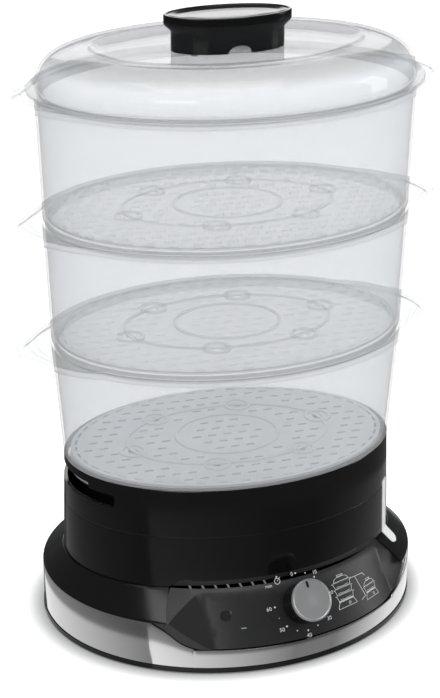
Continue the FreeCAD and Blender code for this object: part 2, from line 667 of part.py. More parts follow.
def heater_nuts():
    nuts = []
    for index in range(3):
        angle = math.radians(90 + 120 * index)
        nut = doc.addObject("Part::Prism", "nut")
        nut.Polygon = 6
        bind(nut, Circumradius="studRadius*2", Height="2.6", Placement__Base__x=f"studCircle*{math.cos(angle)}",
             Placement__Base__y=f"studCircle*{math.sin(angle)}", Placement__Base__z=f"{floor_under}-1.5-2.6")
        bore = rod("studRadius+0.05", "5", f"studCircle*{math.cos(angle)}", f"studCircle*{math.sin(angle)}",
                   f"{floor_under}-6")
        nuts.append(cut(nut, bore))
    return finish(group(nuts), "heater_nuts")


element_height = "tankFloor+sealThick+panHeight-plateThick-elementRadius-0.1"


def heating_element():
    ring = doc.addObject("Part::Torus", "element_ring")
    bind(ring, Radius1="elementRing", Radius2="elementRadius", Placement__Base__z=element_height)
    ring.Angle3 = 300
    ring.Placement.Rotation = FreeCAD.Rotation(vector(0, 0, 1), 120)
    parts = [ring]
    for angle in (120, 60):
        x = f"elementRing*{math.cos(math.radians(angle))}"
        y = f"elementRing*{math.sin(math.radians(angle))}"
        knuckle = doc.addObject("Part::Sphere", "knuckle")
        bind(knuckle, Radius="elementRadius", Placement__Base__x=x, Placement__Base__y=y,
             Placement__Base__z=element_height)
        parts.append(knuckle)
        parts.append(rod("elementRadius", "12", x, y, f"{element_height}-12"))
        parts.append(rod("1.2", "6", x, y, f"{element_height}-17"))
    return finish(joined(*parts), "heating_element")


def thermostat():
    top = "tankFloor+sealThick+panHeight-plateThick"
    cup = turned("thermostat_cup", [("0", f"{top}-thermostatHeight"), ("thermostatRadius", f"{top}-thermostatHeight"),
                                    ("thermostatRadius", f"{top}-2"), ("thermostatRadius-1", top), ("0", top)])
    tabs = [block("1", "5", "7", x, "0", f"{top}-thermostatHeight-6.5") for x in ("-4.5", "4.5")]
    return finish(joined(cup, *tabs), "thermostat")


def thermal_fuse():
    sleeve = rod("2.2", "14", "-7", "-16", "tankFloor+sealThick+panHeight-plateThick-2.3")
    sleeve.Placement.Rotation = FreeCAD.Rotation(vector(0, 1, 0), 90)
    clip = block("6", "5.4", "2", "0", "-16", "tankFloor+sealThick+panHeight-plateThick-2")
    return finish(joined(sleeve, clip), "thermal_fuse")


# Timer, hung on its plate behind the control panel
def timer_plate():
    place = lifted(dial, up=-size("timerShift"), out=-size("timerPlateDeep+timerPlateThick"))
    plate = slab("timer_plate", "timerPlateWide", "timerTall-6", "timerPlateThick", "3", place)
    bore = doc.addObject("Part::Cylinder", "rod")
    bind(bore, Radius="shaftRadius+0.6", Height="20")
    bore.Placement = lifted(dial, out=-15)
    holes = [bore]
    for side in (-1, 1):
        hole = doc.addObject("Part::Cylinder", "rod")
        bind(hole, Radius="screwRadius+0.2", Height="20")
        hole.Placement = lifted(dial, across=side * size("timerScrewReach"), up=-size("timerShift"), out=-15)
        holes.append(hole)
    return finish(cut(plate, *holes), "timer_plate")


def timer_bosses():
    """Bosses on the panel's back that the timer plate is screwed to."""
    bosses = []
    for side in (-1, 1):
        boss = doc.addObject("Part::Cylinder", "rod")
        bind(boss, Radius="screwRadius+2", Height="timerPlateDeep")
        boss.Placement = lifted(dial, across=side * size("timerScrewReach"), up=-size("timerShift"),
                                out=-size("timerPlateDeep"))
        bosses.append(boss)
    return bosses


def timer_screws():
    screws = []
    for side in (-1, 1):
        place = lifted(dial, across=side * size("timerScrewReach"), up=-size("timerShift"),
                       out=-size("timerPlateDeep+timerPlateThick+2"))
        screws.append(turned("timer_screw", [("0", "0"), ("screwHeadRadius-1", "0"), ("screwHeadRadius-0.75", "2"),
                                             ("screwRadius-0.05", "2"), ("screwRadius-0.05", "5.6"), ("0", "6.3")],
                             place))
    return finish(group(screws), "timer_screws")


timer_back = "timerPlateDeep+timerPlateThick+timerDeep"


def timer_case():
    place = lifted(dial, up=-size("timerShift"), out=-size(timer_back))
    case = slab("timer_case", "timerWide", "timerTall", "timerDeep", "2.5", place)
    room_place = lifted(dial, up=-size("timerShift"), out=-size(f"{timer_back}-timerWall"))
    room = slab("timer_room", "timerWide-2*timerWall", "timerTall-2*timerWall", "timerDeep-2*timerWall", "0",
                room_place)
    bore = doc.addObject("Part::Cylinder", "rod")
    bind(bore, Radius="shaftRadius+runningGap", Height="timerDeep")
    bore.Placement = lifted(dial, out=-size(f"{timer_back}-timerWall"))
    return finish(cut(case, room, bore), "timer_case")


def gear_shape(teeth, outer, root, thick):
    points = []
    for index in range(4 * teeth + 1):
        angle = 2 * math.pi * (index - 0.5) / (4 * teeth)
        radius = outer if index % 4 in (1, 2) else root
        points.append(vector(radius * math.cos(angle), radius * math.sin(angle), 0))
    points[-1] = points[0]
    return Part.Face(Part.makePolygon(points)).extrude(vector(0, 0, thick))


def timer_gears():
    """Two wheels on arbors that run from the front wall to the back wall of the case."""
    room = size("timerDeep-2*timerWall")
    wheels = []
    for across, up, outer, teeth, level in ((-10.5, -11.0, 5.6, 20, 3.0), (10.5, -11.5, 5.2, 18, 7.5)):
        arbor = Part.makeCylinder(0.8, room - 0.4, vector(0, 0, 0.2))
        wheel = gear_shape(teeth, outer, outer - 1.0, 1.6)
        wheel.translate(vector(0, 0, level))
        wheels.append(wheel.fuse(arbor).removeSplitter())
        frame = lifted(dial, across=across, up=up, out=-size(f"{timer_back}-timerWall"))
        wheels[-1].Placement = frame
    return finish(formed("gear_pair", Part.makeCompound(wheels)), "timer_gears")


def timer_barrel():
    place = lifted(dial, out=-size(f"{timer_back}-timerWall-0.3"))
    barrel = turned("timer_barrel", [("0", "0"), ("9", "0"), ("9", "2"), ("8.2", "2"), ("8.2", "5.5"), ("0", "5.5")],
                    place)
    return finish(barrel, "timer_barrel")


def timer_bell():
    place = lifted(dial, up=-size("timerShift"), out=-size(f"{timer_back}+bellTall"))
    bell = turned("timer_bell", [("0", "0"), ("bellRadius*0.55", "0"), ("bellRadius*0.86", "bellTall*0.2"),
                                 ("bellRadius", "bellTall*0.55"), ("bellRadius", "bellTall-1.2"),
                                 ("bellRadius-1", "bellTall-1.2"), ("bellRadius-1", "bellTall*0.6"),
                                 ("bellRadius*0.86-0.9", "bellTall*0.32"), ("bellRadius*0.55", "1"), ("2.5", "1"),
                                 ("2.5", "bellTall"), ("0", "bellTall")], place)
    return finish(bell, "timer_bell")


shaft_foot = f"{timer_back}-timerWall-6.2"


def timer_shaft():
    place = lifted(dial, out=-size(shaft_foot))
    length = f"{shaft_foot}+knobLift+knobTall-3"
    shaft = turned("timer_shaft", [("0", "0"), ("shaftRadius", "0"), ("shaftRadius", f"{length}-0.6"),
                                   ("shaftRadius-0.6", length), ("0", length)], place)
    return finish(shaft, "timer_shaft")


def knob():
    place = lifted(dial, out=size("knobLift"))
    body = turned("knob_body", [("shaftRadius", "0"), ("knobRadius", "0"), ("knobRadius", "knobTall-1"),
                                ("knobRadius-1", "knobTall"), ("0", "knobTall"), ("0", "knobTall-3"),
                                ("shaftRadius", "knobTall-3")], place)
    finish(body, "knob_body")
    cap_place = lifted(dial, out=size("knobLift+knobTall"))
    cap = turned("knob_cap", [("0", "0"), ("knobCapRadius", "0"), ("knobCapRadius", "knobCapThick-0.6"),
                              ("knobCapRadius-0.6", "knobCapThick"), ("knobCapRadius-1.4", "knobCapThick"),
                              ("knobCapRadius-1.8", "knobCapThick-0.4"), ("0", "knobCapThick-0.4")], cap_place)
    return finish(cap, "knob_cap")


def pilot_light():
    lens = turned("pilot_lens", [("0", "0"), ("lampRadius", "0"), ("lampRadius", "panelThick+1.6"),
                                 ("lampRadius-0.5", "panelThick+2"), ("0", "panelThick+2")],
                  lifted(lamp, out=-size("panelThick+1.8")))
    finish(lens, "pilot_lens")
    holder = turned("pilot_lamp", [("0", "0"), ("2.4", "0"), ("2.4", "10"), ("lampRadius", "10"),
                                   ("lampRadius", "12"), ("0", "12")],
                    lifted(lamp, out=-size("panelThick+1.8+12")))
    return finish(holder, "pilot_lamp")


# Supply: gland in the rear wall, terminal block on the bottom cover, leads to the heater and timer
def knob_reach():
    """How far the knob's cap stands out to the front of the steamer's middle."""
    face = lifted(dial, out=size("knobLift+knobTall+knobCapThick"))
    outward = face.Rotation.multVec(vector(0, 0, 1))
    return -face.Base.y + size("knobCapRadius-0.6") * math.sqrt(1 - outward.y ** 2)


def cord_gland():
    """Collar outside the band, barrel through the wall; it stands out as far as the knob does."""
    inner = size(f"bandHalf-bandDrop-({housing_recess})-housingWall")
    outer = knob_reach()
    bore = size("glandBore")
    barrel = size("glandRadius")
    skin = size("bandHalf-bandDrop")
    profile = [(bore, inner - 4), (barrel + 2, inner - 4), (barrel + 2, inner - 0.4), (barrel, inner - 0.4),
               (barrel, skin + 0.2), (barrel + 2.2, skin + 0.2), (barrel + 1.6, skin + 2.6), (bore + 2.4, outer),
               (bore, outer)]
    points = [vector(radius, along, 0) for radius, along in profile]
    face = Part.Face(Part.makePolygon(points + points[:1]))
    solid = face.revolve(vector(0, 0, 0), vector(0, 1, 0), 360)
    gland = formed("gland", solid)
    gland.Placement = FreeCAD.Placement(vector(0, 0, size("glandHeight")), FreeCAD.Rotation())
    return finish(gland, "cord_gland")


def terminal_block():
    block_body = slab("terminal_block", "30", "16", "12", "1.5",
                      FreeCAD.Placement(vector(0, 72, size(cover_top)), FreeCAD.Rotation()))
    wells = []
    for x in ("-10", "0", "10"):
        wells.append(rod("2.6", "6", x, "72", f"{cover_top}+7"))
    return finish(cut(block_body, *wells), "terminal_block")


def lead(points, radius):
    """Insulated lead along straight runs joined by arcs."""
    points = [vector(*point) for point in points]
    edges = []
    start = points[0]
    for before, corner, after in zip(points, points[1:], points[2:]):
        into = (corner - before)
        out = (after - corner)
        reach = 0.45 * min(into.Length, out.Length)
        into.normalize()
        out.normalize()
        first = corner - into * reach
        last = corner + out * reach
        middle_way = (out - into)
        middle_way.normalize()
        half_turn = into.getAngle(out) / 2
        bend = reach / math.tan(half_turn)
        apex = corner + middle_way * (bend / math.cos(half_turn) - bend)
        edges.append(Part.LineSegment(start, first).toShape())
        edges.append(Part.Arc(first, apex, last).toShape())
        start = last
    edges.append(Part.LineSegment(start, points[-1]).toShape())
    path = Part.Wire(edges)
    direction = points[1] - points[0]
    ring = Part.Wire(Part.Circle(points[0], direction, radius).toShape())
    return path.makePipeShell([ring], True, False)


def internal_leads():
    top = size(cover_top) + 12.1
    pin = size(f"{element_height}-17.1")
    ring = size("elementRing")
    pin_x = ring * math.cos(math.radians(60))
    pin_y = ring * math.sin(math.radians(60))
    gland_end = size(f"bandHalf-bandDrop-({housing_recess})-housingWall-4.1")
    gland = size("glandHeight")
    timer = lifted(dial, across=14, up=9, out=-size(timer_back) - 0.1).Base
    timer_way = lifted(dial, across=14, up=9, out=-size(timer_back) - 12).Base
    routes = [
        [(-10, 68, top), (-10, 68, top + 12), (-pin_x, pin_y + 14, pin - 14), (-pin_x, pin_y, pin - 9), (-pin_x, pin_y, pin)],
        [(10, 68, top), (10, 68, top + 12), (pin_x, pin_y + 14, pin - 14), (pin_x, pin_y, pin - 9), (pin_x, pin_y, pin)],
        [(0, 68, top), (0, 68, top + 10), (4, 30, top + 8), (12, -20, top + 8), tuple(timer_way), tuple(timer)],
        [(-2.2, gland_end, gland), (-2.2, gland_end - 8, gland), (-8, 84, top + 5), (-9, 75, top + 6), (-9, 75, top)],
        [(2.2, gland_end, gland), (2.2, gland_end - 8, gland), (8, 84, top + 5), (9, 75, top + 6), (9, 75, top)],
    ]
    leads = [lead(route, 1.1) for route in routes]
    return finish(formed("leads", Part.makeCompound(leads)), "internal_leads")


# Steam ring: loose sleeve round the heater with water notches in its foot
def steam_ring():
    wall = turned("steam_ring", [("steamRingRadius-steamRingWall", "tankFloor"), ("steamRingRadius", "tankFloor"),
                                 ("steamRingRadius", "tankFloor+steamRingHeight-2"),
                                 ("steamRingRadius+2", "tankFloor+steamRingHeight-2"),
                                 ("steamRingRadius+2", "tankFloor+steamRingHeight"),
                                 ("steamRingRadius-steamRingWall", "tankFloor+steamRingHeight")])
    notches = []
    for turn in (0, 60, 120):
        notch = block("3*steamRingRadius", "9", "5", "0", "0", "tankFloor-1")
        centre = FreeCAD.Placement(vector(0, 0, 0), FreeCAD.Rotation(vector(0, 0, 1), turn))
        for axis in ("x", "y", "z"):
            notch.setExpression(f"Placement.Base.{axis}", None)
        notch.Placement = centre * FreeCAD.Placement(
            vector(-1.5 * size("steamRingRadius"), -4.5, size("tankFloor") - 1), FreeCAD.Rotation())
        notches.append(notch)
    return finish(cut(wall, *notches), "steam_ring")


def juice_tray():
    bowl = cut(mound(wall_oval("trayFootHalf", "0", "trayBottom"), wall_oval("trayRimHalf", "0", "ledgeHeight+1")),
               mound(wall_oval("trayFootHalf", "trayThick", "trayBottom+trayThick"),
                     wall_oval("trayRimHalf", "trayThick", "ledgeHeight+1"),
                     wall_oval("trayRimHalf", "trayThick", "ledgeHeight+2")))
    flange_half = "wallTopHalf-housingWall-0.8"
    flange = cut(mound(wall_oval(flange_half, "0", "ledgeHeight"), wall_oval(flange_half, "0", "ledgeHeight+trayThick")),
                 mound(wall_oval("trayRimHalf", "trayThick", "ledgeHeight-1"),
                       wall_oval("trayRimHalf", "trayThick", "ledgeHeight+trayThick+1")))
    chimney = mound(("chimneyHalf+trayThick", "chimneyHalf+trayThick-chimneyDrop", "trayBottom"),
                    ("chimneyHalf+trayThick-1", "chimneyHalf+trayThick-chimneyDrop-1", "chimneyTop"))
    throat = mound(("chimneyHalf", "chimneyHalf-chimneyDrop", "trayBottom-1"),
                   ("chimneyHalf-1", "chimneyHalf-chimneyDrop-1", "chimneyTop+1"))
    return finish(cut(joined(bowl, flange, chimney), throat), "juice_tray")


# Baskets
def basket_top(index):
    return f"(baseTop+{index + 1}*tierPitch)"


def top_half(index):
    return ("wallTopHalf", "firstTopHalf", "secondTopHalf", "thirdTopHalf")[index]


def plug_half(index):
    """Half length of the plug that sits in the rim of what carries basket number index."""
    wall = "housingWall" if index == 0 else "basketWall"
    return f"{top_half(index)}-{wall}-nestGap-{0 if index == 0 else 0.5}"


def foot_half(index):
    inset = "-0.3" if index == 0 else "shoulderInset"
    return f"{top_half(index)}-({inset})"


def egg_cup_spots():
    """Middles of the six egg cups, as shares of the outer rib's half sizes."""
    for degrees in (12, 74, 127, 192, 254, 307):
        yield math.cos(math.radians(degrees)), math.sin(math.radians(degrees))


def floor_plate(half, level):
    """Floor of a basket: one oval face with its steam holes, carried up by the floor's thickness."""
    half_length = size(half)
    half_width = size(f"{half}-ovalDrop")
    outline = Part.Wire(Part.Ellipse(vector(0, 0, 0), half_length, half_width).toShape())
    margin = size("holeMargin")
    long, wide = size("holeLong") / 2, size("holeWide") / 2
    inner = (size("innerRibHalf"), size("innerRibDeep"))
    outer = (size("outerRibHalf"), size("outerRibDeep"))
    cups = [(x * outer[0], y * outer[1]) for x, y in egg_cup_spots()]
    rib = size("ribWide") / 2
    holes = []

    def clear_of_rib(x, y, rib_size):
        reach = 0
        for corner in ((x - long, y - wide), (x + long, y - wide), (x - long, y + wide), (x + long, y + wide)):
            share = math.hypot(corner[0] / rib_size[0], corner[1] / rib_size[1])
            side = 1 if share > 1 else -1
            if abs(share - 1) * min(rib_size) < rib + 0.8:
                return False
            reach += side
        return abs(reach) == 4

    rows = int(half_width // size("holePitchY"))
    columns = int(half_length // size("holePitchX")) + 1
    for row in range(-rows, rows + 1):
        for column in range(-columns, columns + 1):
            x = (column + (0.5 if row % 2 else 0)) * size("holePitchX")
            y = row * size("holePitchY")
            edge = math.hypot((abs(x) + long) / (half_length - margin), (abs(y) + wide) / (half_width - margin))
            near_cup = any(math.hypot(x - cup[0], y - cup[1]) < size("cupRadius") + long + 1 for cup in cups)
            if edge < 1 and not near_cup and clear_of_rib(x, y, inner) and clear_of_rib(x, y, outer):
                corners = [(x - long, y - wide), (x + long, y - wide), (x + long, y + wide), (x - long, y + wide)]
                holes.append(Part.makePolygon([vector(a, b, 0) for a, b in corners + corners[:1]]))
    for cup in cups:
        holes.append(Part.Wire(Part.Circle(vector(cup[0], cup[1], 0), vector(0, 0, 1), size("cupRadius") * 0.4).toShape()))
    face = Part.makeFace([outline] + holes, "Part::FaceMakerBullseye")
    plate = formed("floor_plate", face.extrude(vector(0, 0, size("basketFloor"))))
    bind(plate, Placement__Base__z=level)
    return plate


def oval_rib(half, deep, level):
    low = f"{level}+basketFloor-0.2"
    high = f"{level}+basketFloor+ribHeight"
    return cut(mound((f"{half}+ribWide/2", f"{deep}+ribWide/2", low), (f"{half}+ribWide/2", f"{deep}+ribWide/2", high)),
               mound((f"{half}-ribWide/2", f"{deep}-ribWide/2", f"{low}-1"),
                     (f"{half}-ribWide/2", f"{deep}-ribWide/2", f"{high}+1")))


def ears(index):
    """Pair of ears: an outline seen from above, met with a sheet that curls up towards the tips."""
    top = size(basket_top(index))
    flange = size(f"{top_half(index + 1)}+rimWide")
    flange_deep = flange - size("ovalDrop")
    root = size("earRootHalf")
    tip = size("earTip")
    root_x = flange * math.sqrt(1 - (root / flange_deep) ** 2) - 0.5
    start_x = size(top_half(index + 1)) + 1
    neck = vector(flange - 0.5, root * 0.7, 0)
    shoulder = vector((flange + tip) / 2, root * 0.46, 0)
    corner = vector(tip - 2.6, root * 0.22, 0)
    upper = [vector(root_x, root, 0), neck, shoulder, corner, vector(tip, 0, 0)]
    lower = [vector(point.x, -point.y, 0) for point in reversed(upper)]
    side = smooth_wire(upper[:-1] + lower)
    back = Part.makePolygon([lower[-1], vector(start_x - 12, -root, 0), vector(start_x - 12, root, 0), upper[0]])
    plan = Part.Face(Part.Wire(Part.sortEdges([side] + back.Edges)[0]))
    plan.translate(vector(0, 0, top - 20))
    plan_solid = plan.extrude(vector(0, 0, 40))
    thick = size("earThick")
    rise = size("earRise")
    bend_x = flange - 2
    middle_x = (bend_x + tip) / 2
    low_line = [vector(bend_x, -root, top - thick), vector(middle_x, -root, top - thick + rise * 0.3),
                vector(tip + 1, -root, top - thick + rise)]
    high_line = [vector(point.x, -root, point.z + thick) for point in low_line]
    low_arc = Part.Arc(*low_line).toShape()
    high_arc = Part.Arc(*high_line).toShape()
    flat_low = Part.LineSegment(vector(start_x, -root, top - thick), low_line[0]).toShape()
    flat_high = Part.LineSegment(vector(start_x, -root, top), high_line[0]).toShape()
    ends = [Part.LineSegment(vector(start_x, -root, top - thick), vector(start_x, -root, top)).toShape(),
            Part.LineSegment(low_line[-1], high_line[-1]).toShape()]
    profile = Part.Face(Part.Wire(Part.sortEdges([low_arc, high_arc, flat_low, flat_high] + ends)[0]))
    sheet_solid = profile.extrude(vector(0, 2 * root, 0))
    right = plan_solid.common(sheet_solid)
    left = right.copy()
    left.rotate(vector(0, 0, 0), vector(0, 0, 1), 180)
    return [formed("ear_right", right), formed("ear_left", left)]


def basket(index):
    low = f"(baseTop+{index}*tierPitch)"
    top = basket_top(index)
    foot = foot_half(index)
    rim = top_half(index + 1)
    plug = plug_half(index)
    wall = cut(mound(wall_oval(foot, "0", low), wall_oval(rim, "0", top)),
               mound(wall_oval(foot, "basketWall", f"{low}-1"), wall_oval(rim, "basketWall", top),
                     wall_oval(rim, "basketWall", f"{top}+1")))
    plug_ring = cut(mound(wall_oval(plug, "0.3", f"{low}-plugDepth"), wall_oval(plug, "0", f"{low}+basketFloor")),
                    mound(wall_oval(plug, "basketWall+0.3", f"{low}-plugDepth-1"),
                          wall_oval(plug, "basketWall", f"{low}+basketFloor+1")))
    floor = floor_plate(f"{foot}-basketWall/2", low)
    flange_ring = cut(mound(wall_oval(rim, "-rimWide", f"{top}-rimThick"), wall_oval(rim, "-rimWide", top)),
                      mound(wall_oval(rim, "basketWall/2", f"{top}-rimThick-1"), wall_oval(rim, "basketWall/2", f"{top}+1")))
    lip = cut(mound(wall_oval(rim, "-rimWide", f"{top}-rimLip"), wall_oval(rim, "-rimWide", top)),
              mound(wall_oval(rim, "-(rimWide-1.8)", f"{top}-rimLip-1"), wall_oval(rim, "-(rimWide-1.8)", f"{top}+1")))
    ribs = [oval_rib("innerRibHalf", "innerRibDeep", low), oval_rib("outerRibHalf", "outerRibDeep", low)]
    cups = []
    for across, up in egg_cup_spots():
        x, y = f"outerRibHalf*{across}", f"outerRibDeep*{up}"
        cups.append(cut(rod("cupRadius+ribWide/2", "ribHeight+0.2", x, y, f"{low}+basketFloor-0.2"),
                        rod("cupRadius-ribWide/2", "ribHeight+4", x, y, f"{low}+basketFloor-2")))
    solids = [wall, plug_ring, floor, flange_ring, lip] + ribs + cups + ears(index)
    return finish(joined(*solids), f"basket_{index + 1}")


# Lid: shallow dome with a crest and a sunken floor, and the handle on it
lid_low = basket_top(2)
dish_floor = f"({lid_low}+lidRise-dishDeep)"


def dome(inset, rise, floor):
    """Dome of the lid, its outer form drawn in by inset and its crest lowered to rise."""
    steps = ((0.0, 0.0), (0.012, 0.28), (0.10, 0.60), (0.28, 0.82), (0.55, 0.95), (0.80, 0.99), (1.0, 1.0))
    levels = [wall_oval("thirdTopHalf", f"shoulderInset+({inset})", floor)]
    for share, climb in steps[1:]:
        levels.append(wall_oval("thirdTopHalf", f"shoulderInset+({inset})+(crestInset-({inset}))*{share}",
                                f"{lid_low}+({rise})*{climb}"))
    return mound(*levels)


def lid():
    outside = dome("0", "lidRise", lid_low)
    inside = dome("lidThick", "lidRise-lidThick", f"{lid_low}-0.5")
    crest_edge = "shoulderInset+crestInset+0.6"
    dish = mound(wall_oval("thirdTopHalf", "shoulderInset+dishInset", dish_floor),
                 wall_oval("thirdTopHalf", "shoulderInset+dishInset-6", f"{dish_floor}+1.2"),
                 wall_oval("thirdTopHalf", crest_edge, f"{lid_low}+lidRise+0.3"))
    dish_shell = mound(wall_oval("thirdTopHalf", "shoulderInset+dishInset-1.4", f"{dish_floor}-lidThick"),
                       wall_oval("thirdTopHalf", "shoulderInset+dishInset-8", f"{dish_floor}+1.2-lidThick"),
                       wall_oval("thirdTopHalf", f"{crest_edge}-2", f"{lid_low}+lidRise+0.3"))
    shell = cut(cut(outside, dish), cut(inside, dish_shell))
    plug = plug_half(3)
    plug_ring = cut(mound(wall_oval(plug, "0.3", f"{lid_low}-plugDepth+1"), wall_oval(plug, "0", f"{lid_low}+2")),
                    mound(wall_oval(plug, "basketWall+0.3", f"{lid_low}-plugDepth"),
                          wall_oval(plug, "basketWall", f"{lid_low}+3")))
    rim = cut(mound(wall_oval("thirdTopHalf", "-lidRimWide", lid_low), wall_oval("thirdTopHalf", "-lidRimWide", f"{lid_low}+1.8")),
              mound(wall_oval("thirdTopHalf", "3", f"{lid_low}-1"), wall_oval("thirdTopHalf", "3", f"{lid_low}+3")))
    holes = [rod("screwRadius+0.2", "10", x, "0", f"{dish_floor}-5") for x in ("handleScrewX", "-handleScrewX")]
    holes += [rod("ventRadius", "10", x, "0", f"{dish_floor}-5") for x in ("-6", "6")]
    return finish(cut(joined(shell, plug_ring, rim), *holes), "lid")


def lid_handle():
    low = dish_floor
    top = f"{dish_floor}+handleTall"
    column = mound(("handleHalf", "handleDeep", low), ("handleHalf", "handleDeep", f"{top}-handleFlange"))
    flange = mound(("handleHalf", "handleDeep", f"{top}-handleFlange-2"),
                   ("handleTopHalf-0.6", "handleTopDeep-0.6", f"{top}-handleFlange+1"),
                   ("handleTopHalf", "handleTopDeep", f"{top}-1"), ("handleTopHalf-0.8", "handleTopDeep-0.8", top))
    hollow = mound(("handleHalf-handleWall", "handleDeep-handleWall", f"{low}-1"),
                   ("handleHalf-handleWall-1", "handleDeep-handleWall-1", f"{top}-handleFlange-1"))
    dish = mound(("handleTopHalf*0.55", "handleTopDeep*0.5", f"{top}-handleDish"),
                 ("handleTopHalf-2.6", "handleTopDeep-2.6", f"{top}+0.2"))
    notch = rod("notchRadius", "2*handleDeep", "notchShift", "0", low)
    notch.Placement = FreeCAD.Placement(vector(size("notchShift"), 0, size(low)), FreeCAD.Rotation(vector(1, 0, 0), 90))
    posts = [rod("screwRadius+2.4", "handleTall-handleFlange", x, "0", low) for x in ("handleScrewX", "-handleScrewX")]
    bores = [rod("screwRadius", "12", x, "0", f"{low}-1") for x in ("handleScrewX", "-handleScrewX")]
    shell = cut(joined(column, flange), hollow, dish, notch)
    return finish(cut(joined(shell, *posts), *bores), "lid_handle")


def lid_screws():
    screws = []
    for x in ("handleScrewX", "-handleScrewX"):
        screw = turned("lid_screw", [("0", "0"), ("screwHeadRadius-0.6", "0"), ("screwHeadRadius", "0.6"),
                                     ("screwHeadRadius", "1.8"), ("screwRadius-0.05", "1.8"),
                                     ("screwRadius-0.05", "11"), ("0", "12")])
        bind(screw, Placement__Base__x=x, Placement__Base__z=f"{dish_floor}-lidThick-1.85")
        screws.append(screw)
    return finish(group(screws), "lid_screws")


def control_panel_with_bosses():
    """Control panel fused with the bosses that carry the timer."""
    panel = control_panel()
    pieces.remove(panel)
    bosses = timer_bosses()
    pilots = []
    for side in (-1, 1):
        pilot = doc.addObject("Part::Cylinder", "rod")
        bind(pilot, Radius="screwRadius", Height="timerPlateDeep-2.7")
        pilot.Placement = lifted(dial, across=side * size("timerScrewReach"), up=-size("timerShift"),
                                 out=-size("timerPlateDeep") - 0.5)
        pilots.append(pilot)
    front = mound(band_oval(housing_recess, "dipHeight"), wall_oval("panelTopHalf", "0", "panelTop"))
    inner_bosses = shared(joined(*bosses), front)
    panel.Label = "panel_sheet"
    return finish(cut(joined(panel, inner_bosses), *pilots), "control_panel")


for make in (base_housing, trim_band, control_panel_with_bosses, bottom_cover, rubber_feet, base_screws, water_gauge,
             fill_chute, heater_plate, heater_seal, heater_clamp, heater_nuts, heating_element, thermostat,
             thermal_fuse, timer_plate, timer_case, timer_gears, timer_barrel, timer_bell, timer_screws, timer_shaft,
             knob, pilot_light, cord_gland, terminal_block, internal_leads, steam_ring, juice_tray):
    make()
for number in range(3):
    basket(number)
lid()
lid_handle()
lid_screws()
doc.recompute()

for item in doc.Objects:
    if "Invalid" in item.State or "Error" in item.State:
        raise RuntimeError(f"{item.Name} ({item.Label}) did not compute: {item.State}")
for piece in pieces:
    if piece.Shape.isNull() or not piece.Shape.isValid():
        raise RuntimeError(f"{piece.Label} has no valid shape")
for piece in pieces:
    piece.Shape.exportStep(f"parts/{piece.Label}.step")
    print(piece.Label, len(piece.Shape.Solids), "solids", round(piece.Shape.Volume / 1000, 2), "cm3")
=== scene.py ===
import json
import math

import bmesh
import bpy
import numpy as np
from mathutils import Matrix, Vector
from mathutils.geometry import delaunay_2d_cdt


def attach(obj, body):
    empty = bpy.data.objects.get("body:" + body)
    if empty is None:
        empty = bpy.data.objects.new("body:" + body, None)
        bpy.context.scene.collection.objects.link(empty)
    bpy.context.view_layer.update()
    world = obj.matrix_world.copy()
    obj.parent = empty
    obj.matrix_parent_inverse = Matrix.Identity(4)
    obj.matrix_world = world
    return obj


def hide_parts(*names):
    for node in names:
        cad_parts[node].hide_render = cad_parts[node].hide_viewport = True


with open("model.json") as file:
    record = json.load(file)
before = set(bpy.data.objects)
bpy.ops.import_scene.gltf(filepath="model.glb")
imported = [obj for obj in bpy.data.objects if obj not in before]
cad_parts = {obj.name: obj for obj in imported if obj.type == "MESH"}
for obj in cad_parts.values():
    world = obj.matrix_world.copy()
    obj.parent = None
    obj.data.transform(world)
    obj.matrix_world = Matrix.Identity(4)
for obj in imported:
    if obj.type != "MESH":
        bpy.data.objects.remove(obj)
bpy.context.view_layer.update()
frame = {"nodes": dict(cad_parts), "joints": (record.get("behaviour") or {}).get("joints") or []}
print("stage: frame loaded")

mm = 0.001

# Ovals of the steamer in millimetres, the same as the solids
steamer = {
    "ovalDrop": 35.4,        # half length less half width, above the skirt
    "bandDrop": 22.0,        # the same for the foot and the band
    "bandHalf": 132.0,
    "baseTop": 122.0,
    "tierPitch": 84.9,
    "rims": (120.8, 123.3, 125.4),   # half lengths of the baskets at their tops
    "around": 384,           # columns round an oval
}


# Mesh helpers

def gridFaces(rows, columns, closeRows, closeColumns=True):
    # quads between neighbouring rows and columns, facing out where rows climb the outside
    i = np.arange(rows if closeRows else rows - 1)[:, None]
    j = np.arange(columns if closeColumns else columns - 1)[None, :]
    nextRow = (i + 1) % rows
    nextColumn = (j + 1) % columns
    quads = [i * columns + j, i * columns + nextColumn, nextRow * columns + nextColumn, nextRow * columns + j]
    return np.stack(np.broadcast_arrays(*quads), -1).reshape(-1, 4)


def newPiece(name, parts, material, body, nodes=(), sharpAngle=32):
    # parts are pairs of points in millimetres and faces, all joined in one mesh
    vertices, faces, start = [], [], 0
    for points, quads in parts:
        points = np.asarray(points, float).reshape(-1, 3)
        vertices.append(points * mm)
        faces.extend((np.asarray(quads) + start).tolist() if isinstance(quads, np.ndarray)
                     else [[index + start for index in face] for face in quads])
        start += len(points)
    mesh = bpy.data.meshes.new(name)
    mesh.from_pydata(np.concatenate(vertices).tolist(), [], faces)
    work = bmesh.new()
    work.from_mesh(mesh)
    bmesh.ops.remove_doubles(work, verts=work.verts, dist=2e-6)
    bmesh.ops.dissolve_degenerate(work, edges=work.edges, dist=1e-7)
    work.to_mesh(mesh)
    work.free()
    mesh.validate()
    mesh.shade_smooth()
    mesh.set_sharp_from_angle(angle=math.radians(sharpAngle))
    piece = bpy.data.objects.new(name, mesh)
    bpy.context.scene.collection.objects.link(piece)
    mesh.materials.append(material)
    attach(piece, body)
    if nodes:
        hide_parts(*nodes)
    return piece


